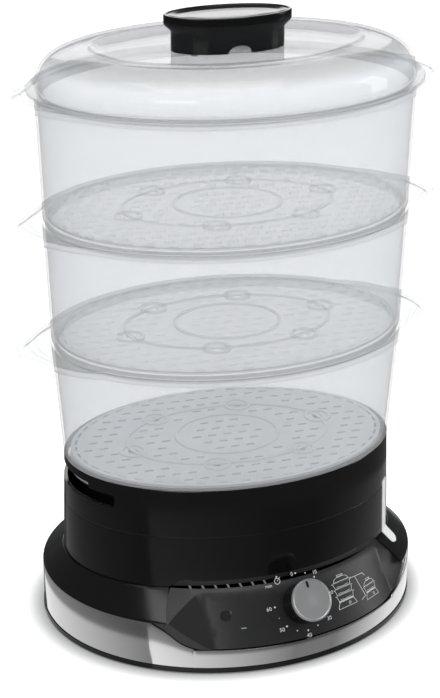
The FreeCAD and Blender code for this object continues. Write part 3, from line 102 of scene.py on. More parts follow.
def rounded(corners, radii, steps=4, closed=True):
    # each corner becomes a short parabola between points a radius before and after it
    corners = np.asarray(corners, float)
    radii = np.broadcast_to(radii, len(corners))
    result = []
    for index, corner in enumerate(corners):
        if not closed and index in (0, len(corners) - 1) or radii[index] == 0:
            result.append(corner[None])
            continue
        before, after = corners[index - 1] - corner, corners[(index + 1) % len(corners)] - corner
        reach = min(radii[index], 0.45 * np.linalg.norm(before), 0.45 * np.linalg.norm(after))
        first = corner + before / np.linalg.norm(before) * reach
        last = corner + after / np.linalg.norm(after) * reach
        t = np.linspace(0, 1, steps + 1)[:, None]
        result.append((1 - t) ** 2 * first + 2 * t * (1 - t) * corner + t ** 2 * last)
    return np.concatenate(result)


def ovalPoints(profile, columns=None):
    # profile rows are half length, half width and height; a column is an angle round the oval
    profile = np.asarray(profile, float)
    angle = np.linspace(0, 2 * math.pi, columns or steamer["around"], endpoint=False)[None, :]
    x = profile[:, :1] * np.cos(angle)
    y = profile[:, 1:2] * np.sin(angle)
    z = np.broadcast_to(profile[:, 2:3], x.shape)
    return np.stack([x, y, z], -1)


def ovalSolid(profile, closed=True, columns=None):
    # surface of a profile turned round the oval
    points = ovalPoints(profile, columns)
    return points, gridFaces(points.shape[0], points.shape[1], closed)


def tierRows(rows, drop=None):
    # rows of half length and height, with the half width that a tier has there
    rows = np.asarray(rows, float)
    drop = steamer["ovalDrop"] if drop is None else drop
    return np.column_stack([rows[:, 0], rows[:, 0] - drop, rows[:, 1]])


def turnedRows(rows):
    # profile rows of radius and height for a round piece
    rows = np.asarray(rows, float)
    return np.column_stack([rows[:, 0], rows[:, 0], rows[:, 1]])


def placed(part, origin, axes):
    # moves a part into a frame given by its origin and its three unit directions
    points, faces = part
    return np.asarray(origin) + points @ np.asarray(axes), faces


def merged(piece, tool, operation="DIFFERENCE"):
    # cuts one mesh with another and keeps the result as a plain mesh
    cutter = bpy.data.objects.new("cutter", tool)
    bpy.context.scene.collection.objects.link(cutter)
    change = piece.modifiers.new("cut", "BOOLEAN")
    change.object = cutter
    change.operation = operation
    change.solver = "EXACT"
    bpy.context.view_layer.update()
    result = bpy.data.meshes.new_from_object(piece.evaluated_get(bpy.context.evaluated_depsgraph_get()))
    piece.modifiers.remove(change)
    bpy.data.objects.remove(cutter)
    result.shade_smooth()
    result.set_sharp_from_angle(angle=math.radians(30))
    piece.data = result


def prismMesh(outline, along, start, end):
    # outline is a closed line of pairs in the plane across the axis number along
    outline = np.asarray(outline, float)
    count = len(outline)
    ends = []
    for level in (start, end):
        points = np.insert(outline, along, level, axis=1)
        ends.append(points)
    vertices = np.concatenate(ends) * mm
    ring = np.arange(count)
    nextRing = (ring + 1) % count
    sides = np.stack([ring, nextRing, nextRing + count, ring + count], -1).tolist()
    mesh = bpy.data.meshes.new("prism")
    mesh.from_pydata(vertices.tolist(), [], sides + [list(range(count))[::-1], list(range(count, 2 * count))])
    work = bmesh.new()
    work.from_mesh(mesh)
    bmesh.ops.recalc_face_normals(work, faces=work.faces)
    work.to_mesh(mesh)
    work.free()
    return mesh


def smoothLine(points, steps=8):
    # Catmull-Rom curve through the points, doubled at its ends
    points = np.asarray(points, float)
    padded = np.concatenate([2 * points[:1] - points[1:2], points, 2 * points[-1:] - points[-2:-1]])
    t = np.linspace(0, 1, steps, endpoint=False)[:, None]
    pieces = []
    for index in range(1, len(padded) - 2):
        a, b, c, d = padded[index - 1:index + 3]
        pieces.append(0.5 * (2 * b + (c - a) * t + (2 * a - 5 * b + 4 * c - d) * t ** 2
                             + (3 * b - a - 3 * c + d) * t ** 3))
    return np.concatenate(pieces + [points[-1:]])


# Materials

def addNode(nodes, kind, inputs=None, **settings):
    # one shader node with its settings and the plain values of its sockets
    node = nodes.new("ShaderNode" + kind)
    for setting, value in settings.items():
        setattr(node, setting, value)
    for socket, value in (inputs or {}).items():
        node.inputs[socket].default_value = value
    return node


def join(tree, *wires):
    # each wire names a node and its output, then the next node and its input
    for first, output, second, entry in wires:
        tree.links.new(first.outputs[output], second.inputs[entry])


def emptied(holder):
    # node tree of a material or a world, with nothing in it
    holder.use_nodes = True
    holder.node_tree.nodes.clear()
    return holder.node_tree, holder.node_tree.nodes


def moulded():
    # plastic skin: fine unevenness as a normal, and a mask of handling marks for the roughness
    group = bpy.data.node_groups.new("mouldedSkin", "ShaderNodeTree")
    face = group.interface
    for socketName, default in (("Scale", 300.0), ("Depth", 0.05), ("Roughness", 0.2), ("Marks", 0.05)):
        made = face.new_socket(socketName, in_out="INPUT", socket_type="NodeSocketFloat")
        made.default_value = default
    face.new_socket("Roughness", in_out="OUTPUT", socket_type="NodeSocketFloat")
    face.new_socket("Normal", in_out="OUTPUT", socket_type="NodeSocketVector")
    nodes = group.nodes
    entry, leave = nodes.new("NodeGroupInput"), nodes.new("NodeGroupOutput")
    coordinates = addNode(nodes, "TexCoord")
    fine = addNode(nodes, "TexNoise", {"Detail": 3})
    broad = addNode(nodes, "TexNoise", {"Scale": 22, "Detail": 4})
    bump = addNode(nodes, "Bump", {"Distance": 0.0004})
    spread = addNode(nodes, "Math", operation="SUBTRACT")
    spread.inputs[1].default_value = 0.5
    amount = addNode(nodes, "Math", operation="MULTIPLY_ADD")
    join(group, (coordinates, "Object", fine, "Vector"), (coordinates, "Object", broad, "Vector"),
         (entry, "Scale", fine, "Scale"), (fine, "Fac", bump, "Height"), (entry, "Depth", bump, "Strength"),
         (broad, "Fac", spread, 0), (spread, 0, amount, 0), (entry, "Marks", amount, 1),
         (entry, "Roughness", amount, 2), (amount, 0, leave, "Roughness"), (bump, "Normal", leave, "Normal"))
    return group


mouldedSkin = moulded()


def newMaterial(name, colour, roughness=0.3, metallic=0.0, specular=0.5, scale=300.0, depth=0.05,
                marks=0.05, skin=True):
    material = bpy.data.materials.new(name)
    material.use_nodes = True
    shader = material.node_tree.nodes["Principled BSDF"]
    for socket, value in (("Base Color", (*colour, 1)), ("Roughness", roughness), ("Metallic", metallic),
                          ("Specular IOR Level", specular)):
        shader.inputs[socket].default_value = value
    if skin:
        group = addNode(material.node_tree.nodes, "Group", node_tree=mouldedSkin)
        for socket, value in (("Scale", scale), ("Depth", depth), ("Roughness", roughness), ("Marks", marks)):
            group.inputs[socket].default_value = value
        join(material.node_tree, (group, "Roughness", shader, "Roughness"), (group, "Normal", shader, "Normal"))
    return material


def clearMaterial(name, colour, faceOn, edgeOn, levelShadeAmount=0.0, roughness=0.08):
    # clear plastic: thin to look through face on, denser and a little darker towards its edges
    material = newMaterial(name, colour, roughness, scale=60, depth=0.06, marks=0.04)
    nodes = material.node_tree.nodes
    shader = nodes["Principled BSDF"]
    edge = (0.88 * colour[0], 0.885 * colour[1], 0.89 * colour[2], 1)
    facing = addNode(nodes, "LayerWeight", {"Blend": 0.35})
    alpha = addNode(nodes, "MapRange", {"To Min": faceOn, "To Max": edgeOn})
    tint = addNode(nodes, "Mix", {"A": (*colour, 1), "B": edge}, data_type="RGBA")
    # level faces, such as the ears and the lid's top, are painted darker than upright ones: painted shade
    # against the strong light they get from above
    surface, parts = addNode(nodes, "NewGeometry"), addNode(nodes, "SeparateXYZ")
    level = addNode(nodes, "Math", operation="ABSOLUTE")
    levelShadeShare = addNode(nodes, "MapRange", {"From Min": 0.6, "To Max": levelShadeAmount})
    paintedLevelShade = addNode(nodes, "Mix", {"B": (*[0.3 * part for part in colour], 1)}, data_type="RGBA")
    join(material.node_tree, (facing, "Facing", alpha, "Value"), (alpha, "Result", shader, "Alpha"),
         (facing, "Facing", tint, "Factor"), (surface, "Normal", parts, "Vector"), (parts, "Z", level, 0),
         (level, 0, levelShadeShare, "Value"), (levelShadeShare, "Result", paintedLevelShade, "Factor"), (tint, "Result", paintedLevelShade, "A"),
         (paintedLevelShade, "Result", shader, "Base Color"))
    return material


def brushedMaterial(name, colour, roughness, stretch):
    # metal with fine lines; stretch is the noise scale along x, y and z
    material = newMaterial(name, colour, roughness, metallic=1.0, skin=False)
    nodes = material.node_tree.nodes
    shader = nodes["Principled BSDF"]
    coordinates = addNode(nodes, "TexCoord")
    mapping = addNode(nodes, "Mapping", {"Scale": stretch})
    lines = addNode(nodes, "TexNoise", {"Scale": 1.0, "Detail": 4})
    bump = addNode(nodes, "Bump", {"Strength": 0.06, "Distance": 0.0002})
    shine = addNode(nodes, "MapRange", {"To Min": roughness - 0.04, "To Max": roughness + 0.08})
    join(material.node_tree, (coordinates, "Object", mapping, "Vector"), (mapping, "Vector", lines, "Vector"),
         (lines, "Fac", bump, "Height"), (lines, "Fac", shine, "Value"),
         (shine, "Result", shader, "Roughness"), (bump, "Normal", shader, "Normal"))
    return material


blackGloss = newMaterial("blackGloss", (0.004, 0.004, 0.0042), 0.14, specular=0.5, scale=140, depth=0.03)
blackSatin = newMaterial("blackSatin", (0.006, 0.006, 0.0063), 0.4, specular=0.4, scale=1500, depth=0.15)
blackPanel = newMaterial("blackPanel", (0.016, 0.016, 0.0165), 0.36, specular=0.6, scale=1800, depth=0.1)
lensSmoked = newMaterial("lensSmoked", (0.012, 0.012, 0.013), 0.2, scale=400)
printGrey = newMaterial("printGrey", (0.3, 0.3, 0.3), 0.5, scale=900)
# the last value darkens this plastic's level faces as painted shade
clearPlastic = clearMaterial("clearPlastic", (0.77, 0.79, 0.81), 0.30, 0.38, 1.0)
clearFloor = clearMaterial("clearFloor", (0.86, 0.875, 0.89), 0.26, 0.42)
clearLowest = clearMaterial("clearLowest", (0.92, 0.93, 0.945), 0.82, 0.93)
clearTray = clearMaterial("clearTray", (0.62, 0.64, 0.66), 0.3, 0.6)
gaugeMilk = newMaterial("gaugeMilk", (0.86, 0.87, 0.88), 0.22, scale=200, depth=0.03)
printWhite = newMaterial("printWhite", (0.7, 0.7, 0.7), 0.5, scale=900)
printBlack = newMaterial("printBlack", (0.01, 0.01, 0.01), 0.5, scale=900)
bandSteel = brushedMaterial("bandSteel", (0.76, 0.76, 0.77), 0.12, (14, 14, 2600))
capSilver = brushedMaterial("capSilver", (0.60, 0.60, 0.61), 0.34, (900, 900, 900))
capSilver.node_tree.nodes["Principled BSDF"].inputs["Metallic"].default_value = 0.8
heaterSteel = brushedMaterial("heaterSteel", (0.6, 0.6, 0.61), 0.3, (600, 600, 60))
sheathMetal = brushedMaterial("sheathMetal", (0.32, 0.30, 0.28), 0.45, (900, 900, 900))
zincSteel = brushedMaterial("zincSteel", (0.62, 0.63, 0.64), 0.32, (1200, 1200, 1200))
brassParts = brushedMaterial("brassParts", (0.72, 0.52, 0.22), 0.3, (900, 900, 900))
feetRubber = newMaterial("feetRubber", (0.018, 0.018, 0.018), 0.8, scale=2500, depth=0.3)
sealSilicone = newMaterial("sealSilicone", (0.42, 0.08, 0.05), 0.6, scale=1500, depth=0.1)
timerWhite = newMaterial("timerWhite", (0.72, 0.70, 0.64), 0.45, scale=900, depth=0.1)
thermostatBrown = newMaterial("thermostatBrown", (0.10, 0.045, 0.025), 0.4, scale=900, depth=0.1)
sleeveWoven = newMaterial("sleeveWoven", (0.6, 0.57, 0.48), 0.8, scale=3500, depth=0.6)
terminalWhite = newMaterial("terminalWhite", (0.75, 0.75, 0.70), 0.5, scale=900, depth=0.1)
leadBrown = newMaterial("leadBrown", (0.12, 0.05, 0.03), 0.5, scale=1500, depth=0.1)
ringGrey = newMaterial("ringGrey", (0.07, 0.07, 0.072), 0.4, scale=1200, depth=0.15)
print("stage: materials made")

# Solids that keep their own shape get a finish, joined corners and smooth shading
nodeFinish = {
    "base_housing": blackGloss, "control_panel": blackPanel, "bottom_cover": blackSatin,
    "rubber_feet": feetRubber, "base_screws": zincSteel, "fill_chute": blackSatin,
    "heater_plate": heaterSteel, "heater_seal": sealSilicone, "heater_clamp": heaterSteel,
    "heater_nuts": zincSteel, "heating_element": sheathMetal, "thermostat": thermostatBrown,
    "thermal_fuse": sleeveWoven, "pilot_lens": lensSmoked, "pilot_lamp": terminalWhite,
    "timer_case": timerWhite, "timer_plate": heaterSteel, "timer_screws": zincSteel,
    "timer_bell": zincSteel, "timer_barrel": brassParts, "timer_gears": brassParts,
    "terminal_block": terminalWhite, "internal_leads": leadBrown, "cord_gland": feetRubber,
    "timer_shaft": zincSteel, "steam_ring": ringGrey, "juice_tray": clearTray, "lid_screws": zincSteel,
}
for nodeName, finish in nodeFinish.items():
    node = frame["nodes"][nodeName]
    node.data.materials.clear()
    node.data.materials.append(finish)
    node.data.polygons.foreach_set("use_smooth", np.ones(len(node.data.polygons), bool))
    weld = node.modifiers.new("joinCorners", "WELD")
    weld.merge_threshold = 2e-6
    split = node.modifiers.new("keepEdges", "EDGE_SPLIT")
    split.split_angle = math.radians(28)


# Baskets: wall with its plug and rim, then the holed floor
basketSizes = {
    "wall": 1.8, "floor": 2.0, "plugDepth": 6.0, "rimWide": 6.0, "lip": 4.4,
    "earTip": 144.8, "earRise": 0.3,
    # one side of each ear bulges and the other is hollow, so the two ears are turned copies
    "earAcross": (-56, -50, -46, -40, -33, -27, -18, -8, 0, 4, 8, 12, 16, 21, 27, 34),
    "earReach": (104, 114, 119, 124.5, 131, 136.5, 141.5, 144,
                 144.8, 144.4, 142.3, 138.2, 134.6, 131.0, 126, 118),
    "foots": (115.0, 120.4, 122.9), "plugs": (111.7, 117.9, 120.4),
}


def rimOutline(half, columns):
    # outer line of the rim: the oval, carried out to the ear's line where that reaches further
    angle = np.linspace(0, 2 * math.pi, columns, endpoint=False)
    wide = half + basketSizes["rimWide"]
    x, y = wide * np.cos(angle), (wide - steamer["ovalDrop"]) * np.sin(angle)
    line = smoothLine(np.column_stack([basketSizes["earAcross"], basketSizes["earReach"]]), 6)
    ear = np.interp(-y * np.sign(x), line[:, 0], line[:, 1], left=0, right=0)
    softness = 1.2
    reach = np.where(ear > 100, np.log(np.exp((np.abs(x) - ear) / softness) + 1) * softness + ear, np.abs(x))
    excess = np.clip((reach - np.abs(x)) / (basketSizes["earTip"] - wide), 0, 1)
    return np.sign(x) * reach, y, excess


def basketWall(index):
    # profile turned round the oval; the part of it on the rim is carried out to the ear's line
    low = steamer["baseTop"] + index * steamer["tierPitch"]
    top = low + steamer["tierPitch"]
    foot, plug, rim = basketSizes["foots"][index], basketSizes["plugs"][index], steamer["rims"][index]
    wall = basketSizes["wall"]
    rows, rounding = [], []
    for half, height, out, radius in (
            (plug - 0.3 - wall, low - basketSizes["plugDepth"], 0, 0.5),
            (plug - 0.3, low - basketSizes["plugDepth"], 0, 0.5),
            (plug, low, 0, 0.2), (foot, low, 0, 0.9), (rim, top - 2.0, 0, 0.8),
            (rim, top - 2.0, 0.76, 0.4), (rim, top - basketSizes["lip"], 0.8, 0.3),
            (rim, top - basketSizes["lip"], 1.0, 0.3), (rim, top - 0.1, 1.0, 0.6), (rim, top + 0.0, 0.72, 0.2),
            (rim, top + 0.5, 0.66, 0.3), (rim, top + 0.5, 0.5, 0.3), (rim, top, 0.44, 0.2),
            (rim, top, 0.0, 0.6), (rim - wall, top - 0.2, 0, 0.8),
            (foot - wall, low + basketSizes["floor"], 0, 0.8),
            (plug - wall, low + basketSizes["floor"], 0, 0.4)):
        rows.append((half, height, out))
        rounding.append(radius)
    wide = basketSizes["rimWide"]
    scaled = [(half + out * wide, height, out) for half, height, out in rows]
    smooth = rounded(scaled, rounding, 3)
    columns = steamer["around"]
    halves = smooth[:, 0] - smooth[:, 2] * wide
    points = ovalPoints(tierRows(np.column_stack([halves, smooth[:, 1]])), columns)
    x, y, excess = rimOutline(rim, columns)
    out = smooth[:, 2][:, None]
    points[..., 0] += out * (x - rim * np.cos(np.linspace(0, 2 * math.pi, columns, endpoint=False)))
    points[..., 1] += out * (y - (rim - steamer["ovalDrop"]) * np.sin(np.linspace(0, 2 * math.pi, columns,
                                                                                   endpoint=False)))
    points[..., 2] += basketSizes["earRise"] * excess ** 1.2 * out ** 2
    return points, gridFaces(points.shape[0], columns, True)


floorSizes = {
    "slotLong": 6.6, "slotWide": 2.4, "pitchX": 11.0, "pitchY": 10.0, "margin": 8.0,
    "innerRib": (36.0, 30.0), "outerRib": (71.0, 44.5), "ribWide": 2.4, "ribHigh": 0.9, "cupRadius": 8.4,
    "cupAngles": (12, 74, 127, 192, 254, 307),
}


def slotOutline(x, y, long, wide, turn=0.0, steps=4):
    # rounded slot: two half circles joined by straight sides
    angle = np.concatenate([np.linspace(-90, 90, steps + 1), np.linspace(90, 270, steps + 1)])
    side = np.where(np.arange(len(angle)) <= steps, 1, -1)
    angle = np.radians(angle)
    along = side * (long - wide) / 2 + np.cos(angle) * wide / 2
    across = np.sin(angle) * wide / 2
    return np.column_stack([x + along * math.cos(turn) - across * math.sin(turn),
                            y + along * math.sin(turn) + across * math.cos(turn)])


def floorHoles(half, deep):
    # rows of slots, every other one shifted by half a step, clear of the edge, the ribs and the egg cups
    long, wide = floorSizes["slotLong"], floorSizes["slotWide"]
    turns = np.radians(floorSizes["cupAngles"])
    cups = np.column_stack([np.cos(turns), np.sin(turns)]) * floorSizes["outerRib"]

    def clearOf(x, y, rib):
        # whether all corners of a slot lie on one side of a rib
        reach = 0
        for cornerX, cornerY in ((x - long / 2, y - wide / 2), (x + long / 2, y - wide / 2),
                                 (x - long / 2, y + wide / 2), (x + long / 2, y + wide / 2)):
            share = math.hypot(cornerX / rib[0], cornerY / rib[1])
            if abs(share - 1) * min(rib) < floorSizes["ribWide"] / 2 + 0.8:
                return False
            reach += 1 if share > 1 else -1
        return abs(reach) == 4

    outlines = []
    rows = int(deep // floorSizes["pitchY"])
    columns = int(half // floorSizes["pitchX"]) + 1
    for row in range(-rows, rows + 1):
        for column in range(-columns, columns + 1):
            x = (column + (0.5 if row % 2 else 0)) * floorSizes["pitchX"]
            y = row * floorSizes["pitchY"]
            edge = math.hypot((abs(x) + long / 2) / (half - floorSizes["margin"]),
                              (abs(y) + wide / 2) / (deep - floorSizes["margin"]))
            nearCup = np.hypot(*(cups - (x, y)).T).min() < floorSizes["cupRadius"] + long / 2 + 1
            nearRib = not all(clearOf(x, y, floorSizes[rib]) for rib in ("innerRib", "outerRib"))
            if edge < 1 and not nearCup and not nearRib:
                outlines.append(slotOutline(x, y, long, wide))
    for cup in cups:
        outlines.append(slotOutline(cup[0], cup[1], 6.72, 6.71, steps=8))
    return outlines, cups


def holedPlate(outer, holes, low, high):
    # flat plate between two heights, its face divided into triangles round the holes
    loops = [outer] + holes
    vertices, edges, start = [], [], 0
    for loop in loops:
        vertices.extend([Vector((float(a), float(b))) for a, b in loop])
        edges.extend([(start + k, start + (k + 1) % len(loop)) for k in range(len(loop))])
        start += len(loop)
    flat, _, triangles, _, _, _ = delaunay_2d_cdt(vertices, edges, [], 1, 1e-6)
    flat = np.array([(v.x, v.y) for v in flat])
    centres = np.array([flat[list(t)].mean(0) for t in triangles])
    keep = np.ones(len(triangles), bool)
    for hole in holes:
        middle = hole.mean(0)
        reach = np.abs(hole - middle).max() + 0.5
        near = np.where(np.abs(centres - middle).max(1) < reach)[0]
        following = np.roll(hole, -1, 0)
        for k in near:
            point = centres[k]
            crossing = (hole[:, 1] > point[1]) != (following[:, 1] > point[1])
            where = (following[:, 0] - hole[:, 0]) * (point[1] - hole[:, 1]) / (
                following[:, 1] - hole[:, 1] + 1e-12) + hole[:, 0]
            if np.sum(crossing & (point[0] < where)) % 2:
                keep[k] = False
    faces = []
    for triangle, kept in zip(triangles, keep):
        if kept:
            a, b, c = triangle
            turn = np.cross(flat[b] - flat[a], flat[c] - flat[a])
            faces.append((a, b, c) if turn > 0 else (a, c, b))
    count = len(flat)
    points = np.concatenate([np.column_stack([flat, np.full(count, level)]) for level in (low, high)])
    allFaces = [[index + count for index in face] for face in faces] + [list(face)[::-1] for face in faces]
    start = 0
    for loop in loops:
        size = len(loop)
        for k in range(size):
            a, b = start + k, start + (k + 1) % size
            allFaces.append([a, b, b + count, a + count])
        start += size
    return points, allFaces


def basketFloor(index):
    # holed plate inside the plug, with two oval ribs and six round egg cups standing on it
    low = steamer["baseTop"] + index * steamer["tierPitch"]
    high = low + basketSizes["floor"]
    half = basketSizes["plugs"][index] - basketSizes["wall"] + 0.05
    deep = half - steamer["ovalDrop"]
    angle = np.linspace(0, 2 * math.pi, steamer["around"], endpoint=False)
    outer = np.column_stack([half * np.cos(angle), deep * np.sin(angle)])
    footHalf = basketSizes["foots"][index] - 0.9
    holes, cups = floorHoles(footHalf, footHalf - steamer["ovalDrop"])
    tangential = 44
    for k in range(tangential):
        a = 2 * math.pi * (k + 0.5) / tangential
        x, y = (half - 3.4) * math.cos(a), (deep - 3.4) * math.sin(a)
        turn = math.atan2((deep - 3.4) * math.cos(a), -(half - 3.4) * math.sin(a))
        holes.append(slotOutline(x, y, 7.0, 1.5, turn))
    holes = [hole[::-1] for hole in holes]
    parts = [holedPlate(outer, holes, low, high)]
    width, ribTop = floorSizes["ribWide"] / 2, high + floorSizes["ribHigh"]
    section = ((width, high - 0.1), (width, ribTop), (-width, ribTop), (-width, high - 0.1))
    for ribHalf, ribDeep in (floorSizes["innerRib"], floorSizes["outerRib"]):
        rows = [(ribHalf + w, ribDeep + w, z) for w, z in section]
        parts.append(ovalSolid(rounded(rows, (0, 0.35, 0.35, 0), 3), columns=160))
    for x, y in cups:
        rows = [(floorSizes["cupRadius"] + w, z) for w, z in section]
        points, faces = ovalSolid(rounded(turnedRows(rows), (0, 0.35, 0.35, 0), 3), columns=48)
        parts.append((points + np.array([x, y, 0]), faces))
    return parts


for index in range(3):
    node = f"basket_{index + 1}"
    newPiece(f"basketWall{index + 1}", [basketWall(index)], clearPlastic, node, (node,), 38)
    floorFinish = clearFloor if index else clearLowest
    newPiece(f"basketFloor{index + 1}", basketFloor(index), floorFinish, node, (node,))
print("stage: baskets made")


# Lid: domed shell with a sunken floor, its rim and plug
lidSizes = {
    "seat": steamer["baseTop"] + 3 * steamer["tierPitch"], "thick": 2.0,
    "dome": ((124.9, 378.6), (124.7, 381.0), (124.3, 384.0), (123.3, 388.0), (121.4, 391.4), (118.6, 394.6),
             (115.4, 397.0), (111.0, 399.2), (106.4, 400.8), (101.0, 401.9), (96.0, 402.4), (92.0, 402.7)),
    "dish": ((90.2, 402.5), (88.6, 401.4), (86.2, 400.0), (83.6, 399.1), (80.0, 398.4), (76.5, 398.1)),
}


def lidShell():
    # profile turned round the oval: up the dome, down the dish, and the same line set inwards by the wall
    seat = lidSizes["seat"]
    outside = smoothLine(lidSizes["dome"] + lidSizes["dish"], 4)
    slope = np.gradient(outside, axis=0)
    normal = np.column_stack([slope[:, 1], -slope[:, 0]])
    normal /= np.linalg.norm(normal, axis=1)[:, None]
    inside = (outside - normal * lidSizes["thick"])[::-1]
    inside = inside[(inside[:, 1] > seat + 3)]
    plug = 122.5
    corners = [(plug - 1.8, seat - 5), (plug - 0.3, seat - 5), (plug, seat), (130.6, seat),
               (130.6, seat + 1.8), (125.1, seat + 1.8)]
    lower = rounded(corners, (0.5, 0.5, 0.2, 0.5, 0.6, 0.6), 3, closed=False)
    outer = tierRows(np.concatenate([lower, outside]))
    inner = tierRows(inside)
    middleTop = [(50, 24, 398.1), (24, 10, 398.1), (0.001, 0.001, 398.1)]
    middleLow = [(0.001, 0.001, 396.1), (24, 10, 396.1), (50, 24, 396.1)]
    plugInside = tierRows([(122.9, seat + 2.0), (plug - 1.8, seat + 0.6)])
    profile = np.concatenate([outer, middleTop, middleLow, inner, plugInside])
    return ovalSolid(profile)


newPiece("lidShell", [lidShell()], clearPlastic, "lid", ("lid",), 40)

handleSizes = {"low": 398.1, "top": 421.6, "notchHalf": 8.0, "notchHigh": 5.2, "notchX": 3.2}


def lidHandle():
    # profile turned round the oval: column, chamfer, upright flange and shallow dish
    low, top = handleSizes["low"], handleSizes["top"]
    rows = [(33.9, 15.0, low), (37.3, 18.4, low), (37.3, 18.4, top - 10.8), (42.0, 20.5, top - 6.2),
            (42.0, 20.5, top - 0.5), (41.3, 19.8, top), (39.9, 18.4, top), (39.5, 18.0, top - 0.7),
            (38.6, 17.2, top - 0.75), (34.0, 14.0, top - 1.7), (24.0, 9.6, top - 2.15), (10.0, 4.0, top - 2.25),
            (0.001, 0.001, top - 2.25), (0.001, 0.001, top - 7.0), (32.9, 14.4, top - 7.0)]
    radii = (0.4, 0.4, 0.9, 0.9, 0.3, 0.3, 0.2, 0.3, 0.4, 1.5, 3.0, 2.0, 0, 0, 0.5)
    return ovalSolid(rounded(rows, radii, 4), columns=256)


handle = newPiece("lidHandle", [lidHandle()], blackGloss, "lid", ("lid_handle",), 40)
notchAngle = np.linspace(0, 2 * math.pi, 48, endpoint=False)
notchOutline = np.column_stack([handleSizes["notchX"] + handleSizes["notchHalf"] * np.cos(notchAngle),
                                handleSizes["low"] + handleSizes["notchHigh"] * np.sin(notchAngle)])
merged(handle, prismMesh(notchOutline, 1, -40, -2))
print("stage: lid made")


# Trim band: thin sheet whose top edge dips under the panel
bandSizes = {
    "thick": 0.8, "low": 4.6, "top": 36.4,
    "dipX": (-80.0, -79.0, -69.6, -60.7, -51.7, -40.0, 86.0, 97.4, 108.0, 117.2, 124.0, 125.0),
    "dipZ": (36.4, 36.4, 30.5, 22.9, 18.9, 17.8, 17.8, 18.8, 22.4, 28.8, 36.4, 36.4),
}


def trimBand():
    # upright sheet round the foot's oval, its top edge lowered to the dip's line at the front
    columns = 720
    angle = np.linspace(0, 2 * math.pi, columns, endpoint=False)
    half, deep = steamer["bandHalf"], steamer["bandHalf"] - steamer["bandDrop"]
    x = half * np.cos(angle)
    front = np.sin(angle) < 0
    line = smoothLine(np.column_stack([bandSizes["dipX"], bandSizes["dipZ"]])[1:-1], 12)
    dip = np.interp(x, line[:, 0], line[:, 1], left=bandSizes["top"], right=bandSizes["top"])
    top = np.where(front, np.minimum(dip, bandSizes["top"]), bandSizes["top"])
    rows = []
    for inset, rise, low in ((0, 0, True), (0, -0.35, False), (0.12, -0.1, False), (0.35, 0, False),
                             (bandSizes["thick"], 0, False), (bandSizes["thick"], 0, True)):
        z = np.full(columns, bandSizes["low"]) if low else top + rise
        rows.append(np.column_stack([(half - inset) * np.cos(angle), (deep - inset) * np.sin(angle), z]))
    points = np.stack(rows)
    return points, gridFaces(len(rows), columns, True)


newPiece("trimBand", [trimBand()], bandSteel, "base", ("trim_band",))

# Base housing: wall, skirt and drop wall outside, tank and dry space inside
# rows are half length, half width and height, from the foot up and back down inside
housing = [
    (131.1, 109.1, 4.4), (131.1, 109.1, 36.5), (131.9, 109.9, 36.8), (131.2, 108.7, 37.6),
    (118.9, 84.6, 49.6), (117.9, 82.9, 50.3), (117.2, 82.0, 49.8), (117.1, 81.7, 51.2),
    (115.95, 80.55, 87.35), (115.82, 80.42, 87.6), (115.9, 80.5, 87.85), (114.75, 79.35, 121.2),
    (114.3, 78.9, 122.0), (112.3, 76.9, 122.0), (112.6, 77.2, 112.0), (108.7, 73.3, 112.0),
    (108.7, 73.3, 110.4), (112.7, 77.3, 109.4), (114.8, 79.4, 60.0), (38.4, 38.4, 60.0),
    (38.4, 38.4, 57.0), (114.8, 79.4, 57.0), (114.8, 79.4, 49.5), (128.7, 106.7, 35.0),
    (128.7, 106.7, 4.4)]
housingRadii = (
    0.2, 0.1, 0.3, 1.2, 1.0, 0.6, 0.3, 0.6, 0.15, 0.1, 0.15, 0.4, 0.5, 0.4, 0.3, 0.3, 0.3, 0.5,
    2.0, 0.3, 0.3, 0.5, 1.0, 0.5, 0.2)
shell = newPiece("housingShell", [ovalSolid(rounded(housing, housingRadii, 4), columns=512)], blackGloss, "base",
                 ("base_housing",), 28)
cutOuts = {
    # inlet slot: distance across and height, with the rounding of each corner
    "slot": [(-48, 104), (48, 104), (48, 112.7), (31, 112.7),
             (31, 116.5), (-31, 116.5), (-31, 112.7), (-48, 112.7)],
    "slotRadii": (1.6, 1.6, 1.6, 0.8, 1.6, 1.6, 0.8, 1.6),
    "slotReach": (-140, -70),
    # panel: its left and right edges, as distance across and height
    "panelLeft": [(-55, 55.3), (-62.5, 48.5), (-68.4, 38.5), (-69.6, 30.5)],
    "panelRight": [(117.2, 28.8), (104.1, 43.6), (90, 55.3)],
    "panelReach": (-140, -34),
}
merged(shell, prismMesh(rounded(cutOuts["slot"], cutOuts["slotRadii"], 5), 0, *cutOuts["slotReach"]))


def panelOutline():
    # down the left edge, along the band's dip and up the right edge
    left = smoothLine(cutOuts["panelLeft"], 6)
    right = smoothLine(cutOuts["panelRight"], 6)
    dip = smoothLine(np.column_stack([bandSizes["dipX"], bandSizes["dipZ"]])[2:-2], 8)
    return np.concatenate([left[:-1], dip[:-1], right])


merged(shell, prismMesh(panelOutline(), 1, *cutOuts["panelReach"]))
print("stage: base made")


# Water gauge: milky strip down the wall, over its foot and ending round on the skirt
gauge = {
    "angle": -25.5, "proud": 0.32, "deep": 0.5, "columns": 13,
    "path": (
        (116.0, 80.6, 91.0), (116.3, 80.9, 80.0), (117.1, 81.7, 53.6), (117.6, 82.5, 51.5),
        (119.0, 85.0, 49.6), (121.6, 89.9, 47.0), (124.9, 96.4, 43.6)),
    "wide": (4.2, 4.3, 4.8, 4.9, 5.0, 5.1, 5.1),
}


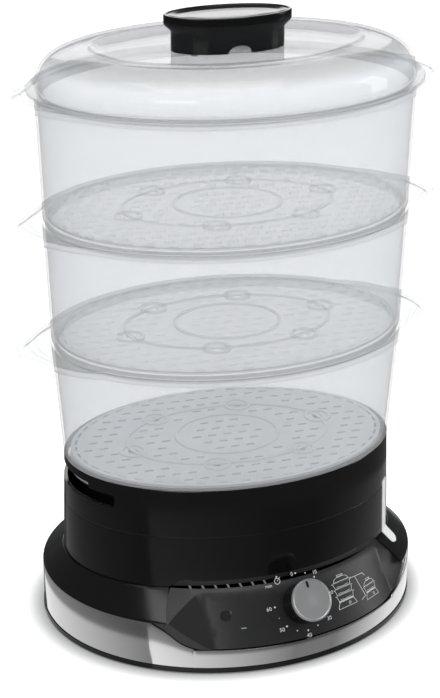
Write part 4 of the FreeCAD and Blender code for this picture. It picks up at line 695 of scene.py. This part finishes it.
def waterGauge():
    # the path's widths spread over the oval's angle, set out along the normal, narrowing to round ends
    path = smoothLine(gauge["path"], 8)
    wide = smoothLine(np.column_stack([gauge["wide"], np.zeros(len(gauge["wide"]))]), 8)[:, 0]
    step = np.linalg.norm(np.diff(path, axis=0), axis=1)
    toEnd = np.concatenate([np.cumsum(step[::-1])[::-1], [0]])
    toStart = np.concatenate([[0], np.cumsum(step)])
    wide = wide * np.sqrt(np.clip(1 - (1 - np.clip(toEnd / 5.5, 0, 1)) ** 2, 0.004, 1))
    wide = wide * np.sqrt(np.clip(1 - (0.5 - np.clip(toStart / 3.0, 0, 0.5)) ** 2, 0.004, 1))
    share = np.linspace(-1, 1, gauge["columns"])[None, :]
    start = math.radians(gauge["angle"])
    rate = np.hypot(path[:, 0] * math.sin(start), path[:, 1] * math.cos(start))
    angle = start + share * (wide / rate)[:, None]
    x, y = path[:, :1] * np.cos(angle), path[:, 1:2] * np.sin(angle)
    face = np.stack([x, y, np.broadcast_to(path[:, 2:3], x.shape)], -1)
    out = np.cross(np.gradient(face, axis=1), -np.gradient(face, axis=0))
    out /= np.linalg.norm(out, axis=2)[..., None]
    crown = (1 - np.abs(share) ** 4)[..., None] * 0.12 + gauge["proud"]
    rows, columns = face.shape[:2]
    points = np.concatenate([(face - out * gauge["deep"]).reshape(-1, 3), (face + out * crown).reshape(-1, 3)])
    count = rows * columns
    low = gridFaces(rows, columns, False, False)
    high = low[:, ::-1] + count
    edge = ([(k, k + 1) for k in range(columns - 1)]
            + [(k * columns + columns - 1, (k + 1) * columns + columns - 1) for k in range(rows - 1)]
            + [((rows - 1) * columns + k + 1, (rows - 1) * columns + k) for k in reversed(range(columns - 1))]
            + [((k + 1) * columns, k * columns) for k in reversed(range(rows - 1))])
    faces = low.tolist() + high.tolist() + [[b, a, a + count, b + count] for a, b in edge]
    return points, faces


newPiece("waterGauge", [waterGauge()], gaugeMilk, "base", ("water_gauge",))

# Knob on the dial: black body and silver cap with its pointer
dialJoint = [joint for joint in frame["joints"] if joint["name"] == "timer_turn"][0]
dialOrigin = np.array(dialJoint["pos_m"]) / mm
dialOut = -np.array(dialJoint["axis"])
dialAcross = np.cross((0, 0, 1), dialOut)
dialAcross /= np.linalg.norm(dialAcross)
dialUp = np.cross(dialOut, dialAcross)
dialAxes = np.array([dialAcross, dialUp, dialOut])
knob = {"lift": 0.8, "radius": 13.7, "tall": 15.6, "capRadius": 14.4, "capThick": 2.4, "pointerTurn": 3.0}


def knobBody():
    # profile turned about the dial's axis
    low, top, radius = knob["lift"], knob["lift"] + knob["tall"], knob["radius"]
    rows = [(3.0, low), (radius, low), (radius - 0.5, top - 1.0), (radius - 1.0, top), (3.0, top)]
    return ovalSolid(rounded(turnedRows(rows), (0.2, 0.6, 0.5, 0.3, 0.2), 4), columns=160)


def knobCap():
    # flat disc with a raised, rounded edge
    low, radius = knob["lift"] + knob["tall"], knob["capRadius"]
    top = low + knob["capThick"]
    rows = [(0.001, low), (radius - 0.3, low), (radius, low + 0.4), (radius, top - 0.7), (radius - 0.7, top),
            (radius - 1.0, top), (radius - 1.5, top - 0.35), (0.001, top - 0.35)]
    return ovalSolid(rounded(turnedRows(rows), (0, 0.2, 0.2, 0.3, 0.2, 0.3, 0.4, 0), 4), columns=160)


def knobPointer():
    # rounded bar set radially in the cap, turned a little from upright
    top = knob["lift"] + knob["tall"] + knob["capThick"]
    outline = slotOutline(0, knob["capRadius"] * 0.74, 4.6, 1.8, math.radians(90))
    points, faces = holedPlate(outline, [], top - 0.6, top - 0.12)
    turn = math.radians(knob["pointerTurn"])
    spin = np.array([[math.cos(turn), math.sin(turn), 0], [-math.sin(turn), math.cos(turn), 0], [0, 0, 1]])
    return points @ spin, faces


newPiece("knobBody", [placed(knobBody(), dialOrigin, dialAxes)], blackSatin, "knob", ("knob_body",))
newPiece("knobCap", [placed(knobCap(), dialOrigin, dialAxes)], capSilver, "knob", ("knob_cap",))
newPiece("knobPointer", [placed(knobPointer(), dialOrigin, dialAxes)], printBlack, "knob", ())
print("stage: knob made")

# Printing on the panel, laid on its ruled face between a lower and an upper ellipse
panelFace = {"low": (132.32, 110.32, 14.8), "high": (116.2, 80.8, 56.5), "lift": 0.12, "thick": 0.1}


def onPanel(points, x, z, level=0.0):
    # points are along the face and up the face from the spot that has this x and z
    points = np.asarray(points, float)
    lowFace, highFace = np.array(panelFace["low"]), np.array(panelFace["high"])
    climb = highFace - lowFace

    def ovalAt(height):
        # half length and half width of the face at a height
        share = (height - lowFace[2]) / climb[2]
        return lowFace[0] + climb[0] * share, lowFace[1] + climb[1] * share

    half, deep = ovalAt(z)
    middle = -math.acos(x / half)
    rate = math.hypot(half * math.sin(middle), deep * math.cos(middle))
    slope = np.linalg.norm([climb[0] * math.cos(middle), climb[1] * math.sin(middle), climb[2]])
    angle = middle + points[:, 0] / rate
    height = z + points[:, 1] * climb[2] / slope
    half, deep = ovalAt(height)
    place = np.column_stack([half * np.cos(angle), deep * np.sin(angle), height])
    around = np.column_stack([-half * np.sin(angle), deep * np.cos(angle), np.zeros(len(angle))])
    up = np.column_stack([climb[0] * np.cos(angle), climb[1] * np.sin(angle), np.full(len(angle), climb[2])])
    out = np.cross(around, up)
    out /= np.linalg.norm(out, axis=1)[:, None]
    return place + out * level


def printed(flat, faces, x, z):
    # thin inked shape: its face a little above the panel, with the edges closed below
    top = onPanel(flat, x, z, panelFace["lift"] + panelFace["thick"])
    low = onPanel(flat, x, z, panelFace["lift"])
    count = len(flat)
    used = {}
    for face in faces:
        for a, b in zip(face, list(face[1:]) + [face[0]]):
            used[(a, b)] = True
    rim = [(a, b) for a, b in used if (b, a) not in used]
    allFaces = [[k + count for k in face] for face in faces] + [list(face)[::-1] for face in faces]
    allFaces += [[a, b, b + count, a + count] for a, b in rim]
    return np.concatenate([low, top]), allFaces


def line(points, width, closed=False):
    # ribbon of one width along a line, mitred at the corners
    points = np.asarray(points, float)
    if closed:
        before, after = points - np.roll(points, 1, 0), np.roll(points, -1, 0) - points
    else:
        step = np.diff(points, axis=0)
        before, after = np.concatenate([step[:1], step]), np.concatenate([step, step[-1:]])
    before /= np.linalg.norm(before, axis=1)[:, None]
    after /= np.linalg.norm(after, axis=1)[:, None]
    side = np.column_stack([-(before + after)[:, 1], (before + after)[:, 0]])
    side /= np.linalg.norm(side, axis=1)[:, None]
    stretch = 1 / np.clip((side * np.column_stack([-before[:, 1], before[:, 0]])).sum(1), 0.5, 1)
    offset = side * (stretch * width / 2)[:, None]
    count = len(points)
    spans = range(count if closed else count - 1)
    faces = [[k, (k + 1) % count, (k + 1) % count + count, k + count] for k in spans]
    return np.concatenate([points - offset, points + offset]), faces


def ring(x, y, radiusX, radiusY, start=0, end=360, steps=28):
    # points of an ellipse or an arc of it, angles in degrees
    angle = np.radians(np.linspace(start, end, steps, endpoint=end - start < 360))
    return np.column_stack([x + radiusX * np.cos(angle), y + radiusY * np.sin(angle)])


def disc(x, y, radius, steps=20):
    # filled circle
    return ring(x, y, radius, radius, 0, 360, steps), [list(range(steps))]


def lettering(words, height):
    # words as flat faces, centred
    curve = bpy.data.curves.new("lettering", "FONT")
    curve.body = words
    curve.size = height
    curve.align_x, curve.align_y = "CENTER", "CENTER"
    curve.resolution_u = 3
    holder = bpy.data.objects.new("lettering", curve)
    bpy.context.scene.collection.objects.link(holder)
    bpy.context.view_layer.update()
    mesh = bpy.data.meshes.new_from_object(holder.evaluated_get(bpy.context.evaluated_depsgraph_get()))
    flat = np.array([vertex.co[:2] for vertex in mesh.vertices])
    faces = [list(polygon.vertices) for polygon in mesh.polygons if polygon.normal[2] > 0]
    faces += [list(polygon.vertices)[::-1] for polygon in mesh.polygons if polygon.normal[2] <= 0]
    bpy.data.objects.remove(holder)
    bpy.data.meshes.remove(mesh)
    return flat, faces


def moved(part, x, y, factor=1.0):
    # flat part scaled and shifted
    flat, faces = part
    return flat * factor + np.array([x, y]), faces


dial = {"x": 25.9, "z": 37.6, "radius": 19.6, "step": 22.5, "dot": 0.5, "size": 3.7}
dialMarks = []
for mark in range(13):
    turn = math.radians(dial["step"] * mark)
    dialMarks.append(disc(dial["radius"] * math.sin(turn), dial["radius"] * math.cos(turn),
                          dial["dot"] * (1.25 if mark % 2 == 0 else 0.9)))
dialNumbers = (("0", -8.5, 19.6), ("10", 42, 22.6), ("20", 90, 23.6), ("30", 133, 23.4), ("40", 180, 23.0),
               ("50", 228, 23.4), ("60", 268, 23.8))
for words, turn, distance in dialNumbers:
    angle = math.radians(turn)
    across, up = distance * math.sin(angle), distance * math.cos(angle)
    dialMarks.append(moved(lettering(words, dial["size"]), across, up))
dialMarks.append(moved(lettering("min", 3.4), -21.4, 14.4))
watch = (-14.6, 16.8)
dialMarks += [line(ring(*watch, 2.0, 2.0), 0.4, True), line([watch, (watch[0] + 0.8, watch[1] + 1.0)], 0.35),
              line([(watch[0], watch[1] + 2.0), (watch[0], watch[1] + 3.0)], 0.5),
              line([(watch[0] - 0.7, watch[1] + 3.1), (watch[0] + 0.7, watch[1] + 3.1)], 0.5),
              line([(watch[0] + 1.7, watch[1] + 1.8), (watch[0] + 2.3, watch[1] + 2.4)], 0.5)]
newPiece("dialPrint", [printed(*mark, dial["x"], dial["z"]) for mark in dialMarks], printWhite, "base")


def steamerSign(tiers):
    # little steamer drawn in lines: base with its knob, baskets with ears, and the lid
    half, tall, base = 7.4, 4.6, 5.2
    marks = [line([(-half - 1.2, 0), (half + 1.2, 0), (half + 0.6, 2.2), (half - 1.0, base), (-half + 1.0, base),
                   (-half - 0.6, 2.2)], 0.34, True),
             line(ring(2.2, 2.4, 1.0, 1.0, steps=14), 0.28, True),
             line([(-half + 0.4, base + 0.5), (half - 0.4, base + 0.5)], 0.3)]
    low = base + 0.9
    for tier in range(tiers):
        foot, rim = half - 0.8 + 0.25 * tier, half + 0.1 + 0.3 * tier
        marks.append(line([(-foot, low), (foot, low), (rim, low + tall - 0.8), (rim + 1.3, low + tall),
                           (-rim - 1.3, low + tall), (-rim, low + tall - 0.8)], 0.32, True))
        marks.append(line([(-foot + 1.4, low + 1.3), (0, low + 0.8), (foot - 1.4, low + 1.3)], 0.26))
        low += tall + 0.7
    marks.append(line([(-half, low), (-half + 1.6, low + 2.6), (-half + 4.2, low + 3.5), (half - 4.2, low + 3.5),
                       (half - 1.6, low + 2.6), (half, low)], 0.32, True))
    marks.append(line([(-2.4, low + 4.0), (2.4, low + 4.0), (2.9, low + 5.2), (-2.9, low + 5.2)], 0.34, True))
    return marks, low + 5.2


signs = []
for tiers, x, z, along, up in ((3, 59.0, 36.2, 0.94, 0.82), (1, 81.0, 30.6, 0.74, 0.8)):
    marks, tall = steamerSign(tiers)
    for flat, faces in marks:
        signs.append(printed((flat - (0, tall / 2)) * (along, up), faces, x, z))
signs += [printed(*line(points, 0.32), 71.5, 34.6) for points in (
    [(-6.0, 7.6), (7.2, 7.0), (8.6, 4.6)], [(-0.8, 7.4), (3.4, -8.0), (-1.0, -9.4)])]
newPiece("tierSigns", signs, printWhite, "base")
pilotSign = [printed(*line(ring(0, 0, 2.7, 2.7, 130, 410), 0.3), -28.0, 36.0),
             printed(*moved(lettering("1", 2.6), 4.0, 2.0), -28.0, 36.0),
             printed(*line([(-1.8, 0), (1.8, 0)], 0.7), -17.0, 28.6)]
newPiece("pilotSign", pilotSign, printGrey, "base")
print("stage: printing made")

# Stage: pale floor, soft lamps and the camera
floorMesh = bpy.data.meshes.new("floor")
floorMesh.from_pydata([(-6, -6, 0), (6, -6, 0), (6, 6, 0), (-6, 6, 0)], [], [(0, 1, 2, 3)])
floor = bpy.data.objects.new("floor", floorMesh)
bpy.context.scene.collection.objects.link(floor)
floorPaint = bpy.data.materials.new("floorPaint")
tree, nodes = emptied(floorPaint)
output, path = addNode(nodes, "OutputMaterial"), addNode(nodes, "LightPath")
# the floor's paint is pale, darker in reflections, and darkened by ambient occlusion under the foot as a painted
# contact shadow
paintedContactShadow = addNode(nodes, "AmbientOcclusion", {"Distance": 0.03}, samples=8)
pale = addNode(nodes, "MapRange", {"To Min": 0.82, "To Max": 0.1})
paint = addNode(nodes, "Math", operation="MULTIPLY")
matt = addNode(nodes, "BsdfDiffuse")
# away from the steamer the floor glows up to plain white; its weaker glow in a narrow oval round the foot is a
# painted shadow
coordinates = addNode(nodes, "TexCoord")
oval = addNode(nodes, "VectorMath", operation="MULTIPLY")
oval.inputs[1].default_value = (1, 1.2, 1)
distance = addNode(nodes, "VectorMath", operation="LENGTH")
spread = addNode(nodes, "MapRange", {"From Min": 0.131, "From Max": 0.155, "To Min": 0.16, "To Max": 0.8},
                 interpolation_type="SMOOTHSTEP")
strength = addNode(nodes, "Math", operation="MULTIPLY")
glow, both = addNode(nodes, "Emission"), addNode(nodes, "AddShader")
join(tree, (path, "Is Glossy Ray", pale, "Value"), (pale, "Result", paint, 0), (paintedContactShadow, "AO", paint, 1),
     (paint, 0, matt, "Color"), (coordinates, "Object", oval, 0), (oval, "Vector", distance, 0),
     (distance, "Value", spread, "Value"), (spread, "Result", strength, 0),
     (path, "Is Camera Ray", strength, 1), (strength, 0, glow, "Strength"), (matt, 0, both, 0),
     (glow, 0, both, 1), (both, 0, output, "Surface"))
floorMesh.materials.append(floorPaint)

world = bpy.data.worlds.new("studio")
bpy.context.scene.world = world
tree, nodes = emptied(world)
output, path = addNode(nodes, "OutputWorld"), addNode(nodes, "LightPath")
lit = addNode(nodes, "Background", {"Color": (0.97, 0.985, 1, 1)})
dimmed = addNode(nodes, "MapRange", {"To Min": 0.7, "To Max": 0.14})
white = addNode(nodes, "Background", {"Color": (1, 1, 1, 1), "Strength": 1.0})
seen = addNode(nodes, "Math", operation="MAXIMUM")
mix = addNode(nodes, "MixShader")
join(tree, (path, "Is Glossy Ray", dimmed, "Value"), (dimmed, "Result", lit, "Strength"),
     (path, "Is Camera Ray", seen, 0), (path, "Is Transmission Ray", seen, 1), (seen, 0, mix, "Fac"),
     (lit, 0, mix, 1), (white, 0, mix, 2), (mix, 0, output, "Surface"))


def softLamp(name, place, target, size, power):
    # rectangular lamp at a place, facing a target
    data = bpy.data.lights.new(name, "AREA")
    data.shape = "RECTANGLE"
    data.size, data.size_y = size
    data.energy = power
    lamp = bpy.data.objects.new(name, data)
    lamp.location = place
    lamp.rotation_euler = (Vector(target) - Vector(place)).to_track_quat("-Z", "Y").to_euler()
    bpy.context.scene.collection.objects.link(lamp)


softLamp("overhead", (0.0, -0.2, 1.8), (0, 0, 0.2), (1.1, 1.1), 9)
softLamp("frontLeft", (-0.62, -1.25, 0.95), (0, 0, 0.05), (0.55, 0.5), 3.2)
softLamp("rightSide", (1.5, -0.35, 0.7), (0, 0, 0.15), (0.4, 1.1), 5)
softLamp("back", (0.35, 1.5, 0.95), (0, 0, 0.4), (1.2, 0.5), 5)

# Cards on the floor, seen only in the foot's reflections: each goes from one strength to another
cardRows = ((1.5, 1.0), (62.0, 1.0), (74.0, 0.34), (210.0, 0.3))
viewer = np.array([-316.8, -1093.2])   # where the picture is taken from, in millimetres


def floorCard(name, startAngle, endAngle, startStrength, endStrength, columns=60):
    share = np.linspace(0, 1, columns)
    angle = np.radians(startAngle + (endAngle - startAngle) * share)
    # the card lies where the viewer's line of sight goes on after meeting the band at each angle
    half, deep = steamer["bandHalf"], steamer["bandHalf"] - steamer["bandDrop"]
    foot = np.column_stack([half * np.cos(angle), deep * np.sin(angle)])
    out = np.column_stack([np.cos(angle) / half, np.sin(angle) / deep])
    out /= np.linalg.norm(out, axis=1)[:, None]
    sight = foot - viewer
    sight /= np.linalg.norm(sight, axis=1)[:, None]
    away = sight - 2 * (sight * out).sum(1)[:, None] * out
    points = np.stack([np.column_stack([foot + away * reach, np.full(columns, 1.0)]) for reach, _ in cardRows])
    along = startStrength + (endStrength - startStrength) * share
    strengths = np.stack([along * level for _, level in cardRows])
    mesh = bpy.data.meshes.new(name)
    mesh.from_pydata((points.reshape(-1, 3) * mm).tolist(), [],
                     gridFaces(len(cardRows), columns, False, False).tolist())
    glowing = mesh.attributes.new("glow", "FLOAT", "POINT")
    glowing.data.foreach_set("value", strengths.ravel().astype(np.float32))
    paper = bpy.data.materials.new(name)
    paperTree, paperNodes = emptied(paper)
    result, light = addNode(paperNodes, "OutputMaterial"), addNode(paperNodes, "Emission")
    level = addNode(paperNodes, "Attribute", attribute_name="glow")
    join(paperTree, (level, "Fac", light, "Strength"), (light, 0, result, "Surface"))
    mesh.materials.append(paper)
    card = bpy.data.objects.new(name, mesh)
    bpy.context.scene.collection.objects.link(card)
    card.visible_camera = card.visible_diffuse = card.visible_shadow = card.visible_transmission = False


for cardName, *cardValues in (
        ("leftCard", 181, 233.8, 1.0, 0.24), ("frontCard", 234.0, 276, 0.95, 0.24),
        ("middleCard", 276, 289, 0.22, 0.22), ("rightCard", 289, 314, 0.2, 0.9),
        ("farCard", 314, 345, 0.9, 1.15)):
    floorCard(cardName, *cardValues)

cameraSpot = {"place": (-0.3168, -1.0932, 0.6856), "target": (-0.00482, 0.00137, 0.18823), "lens": 93.75}
cameraData = bpy.data.cameras.new("camera")
cameraData.lens = cameraSpot["lens"]
cameraData.sensor_width = 36
camera = bpy.data.objects.new("camera", cameraData)
camera.location = cameraSpot["place"]
aim = Vector(cameraSpot["target"]) - camera.location
camera.rotation_euler = aim.to_track_quat("-Z", "Y").to_euler()
bpy.context.scene.collection.objects.link(camera)
bpy.context.scene.camera = camera
bpy.context.scene.view_settings.view_transform = "Standard"
print("stage: lamps and camera set")
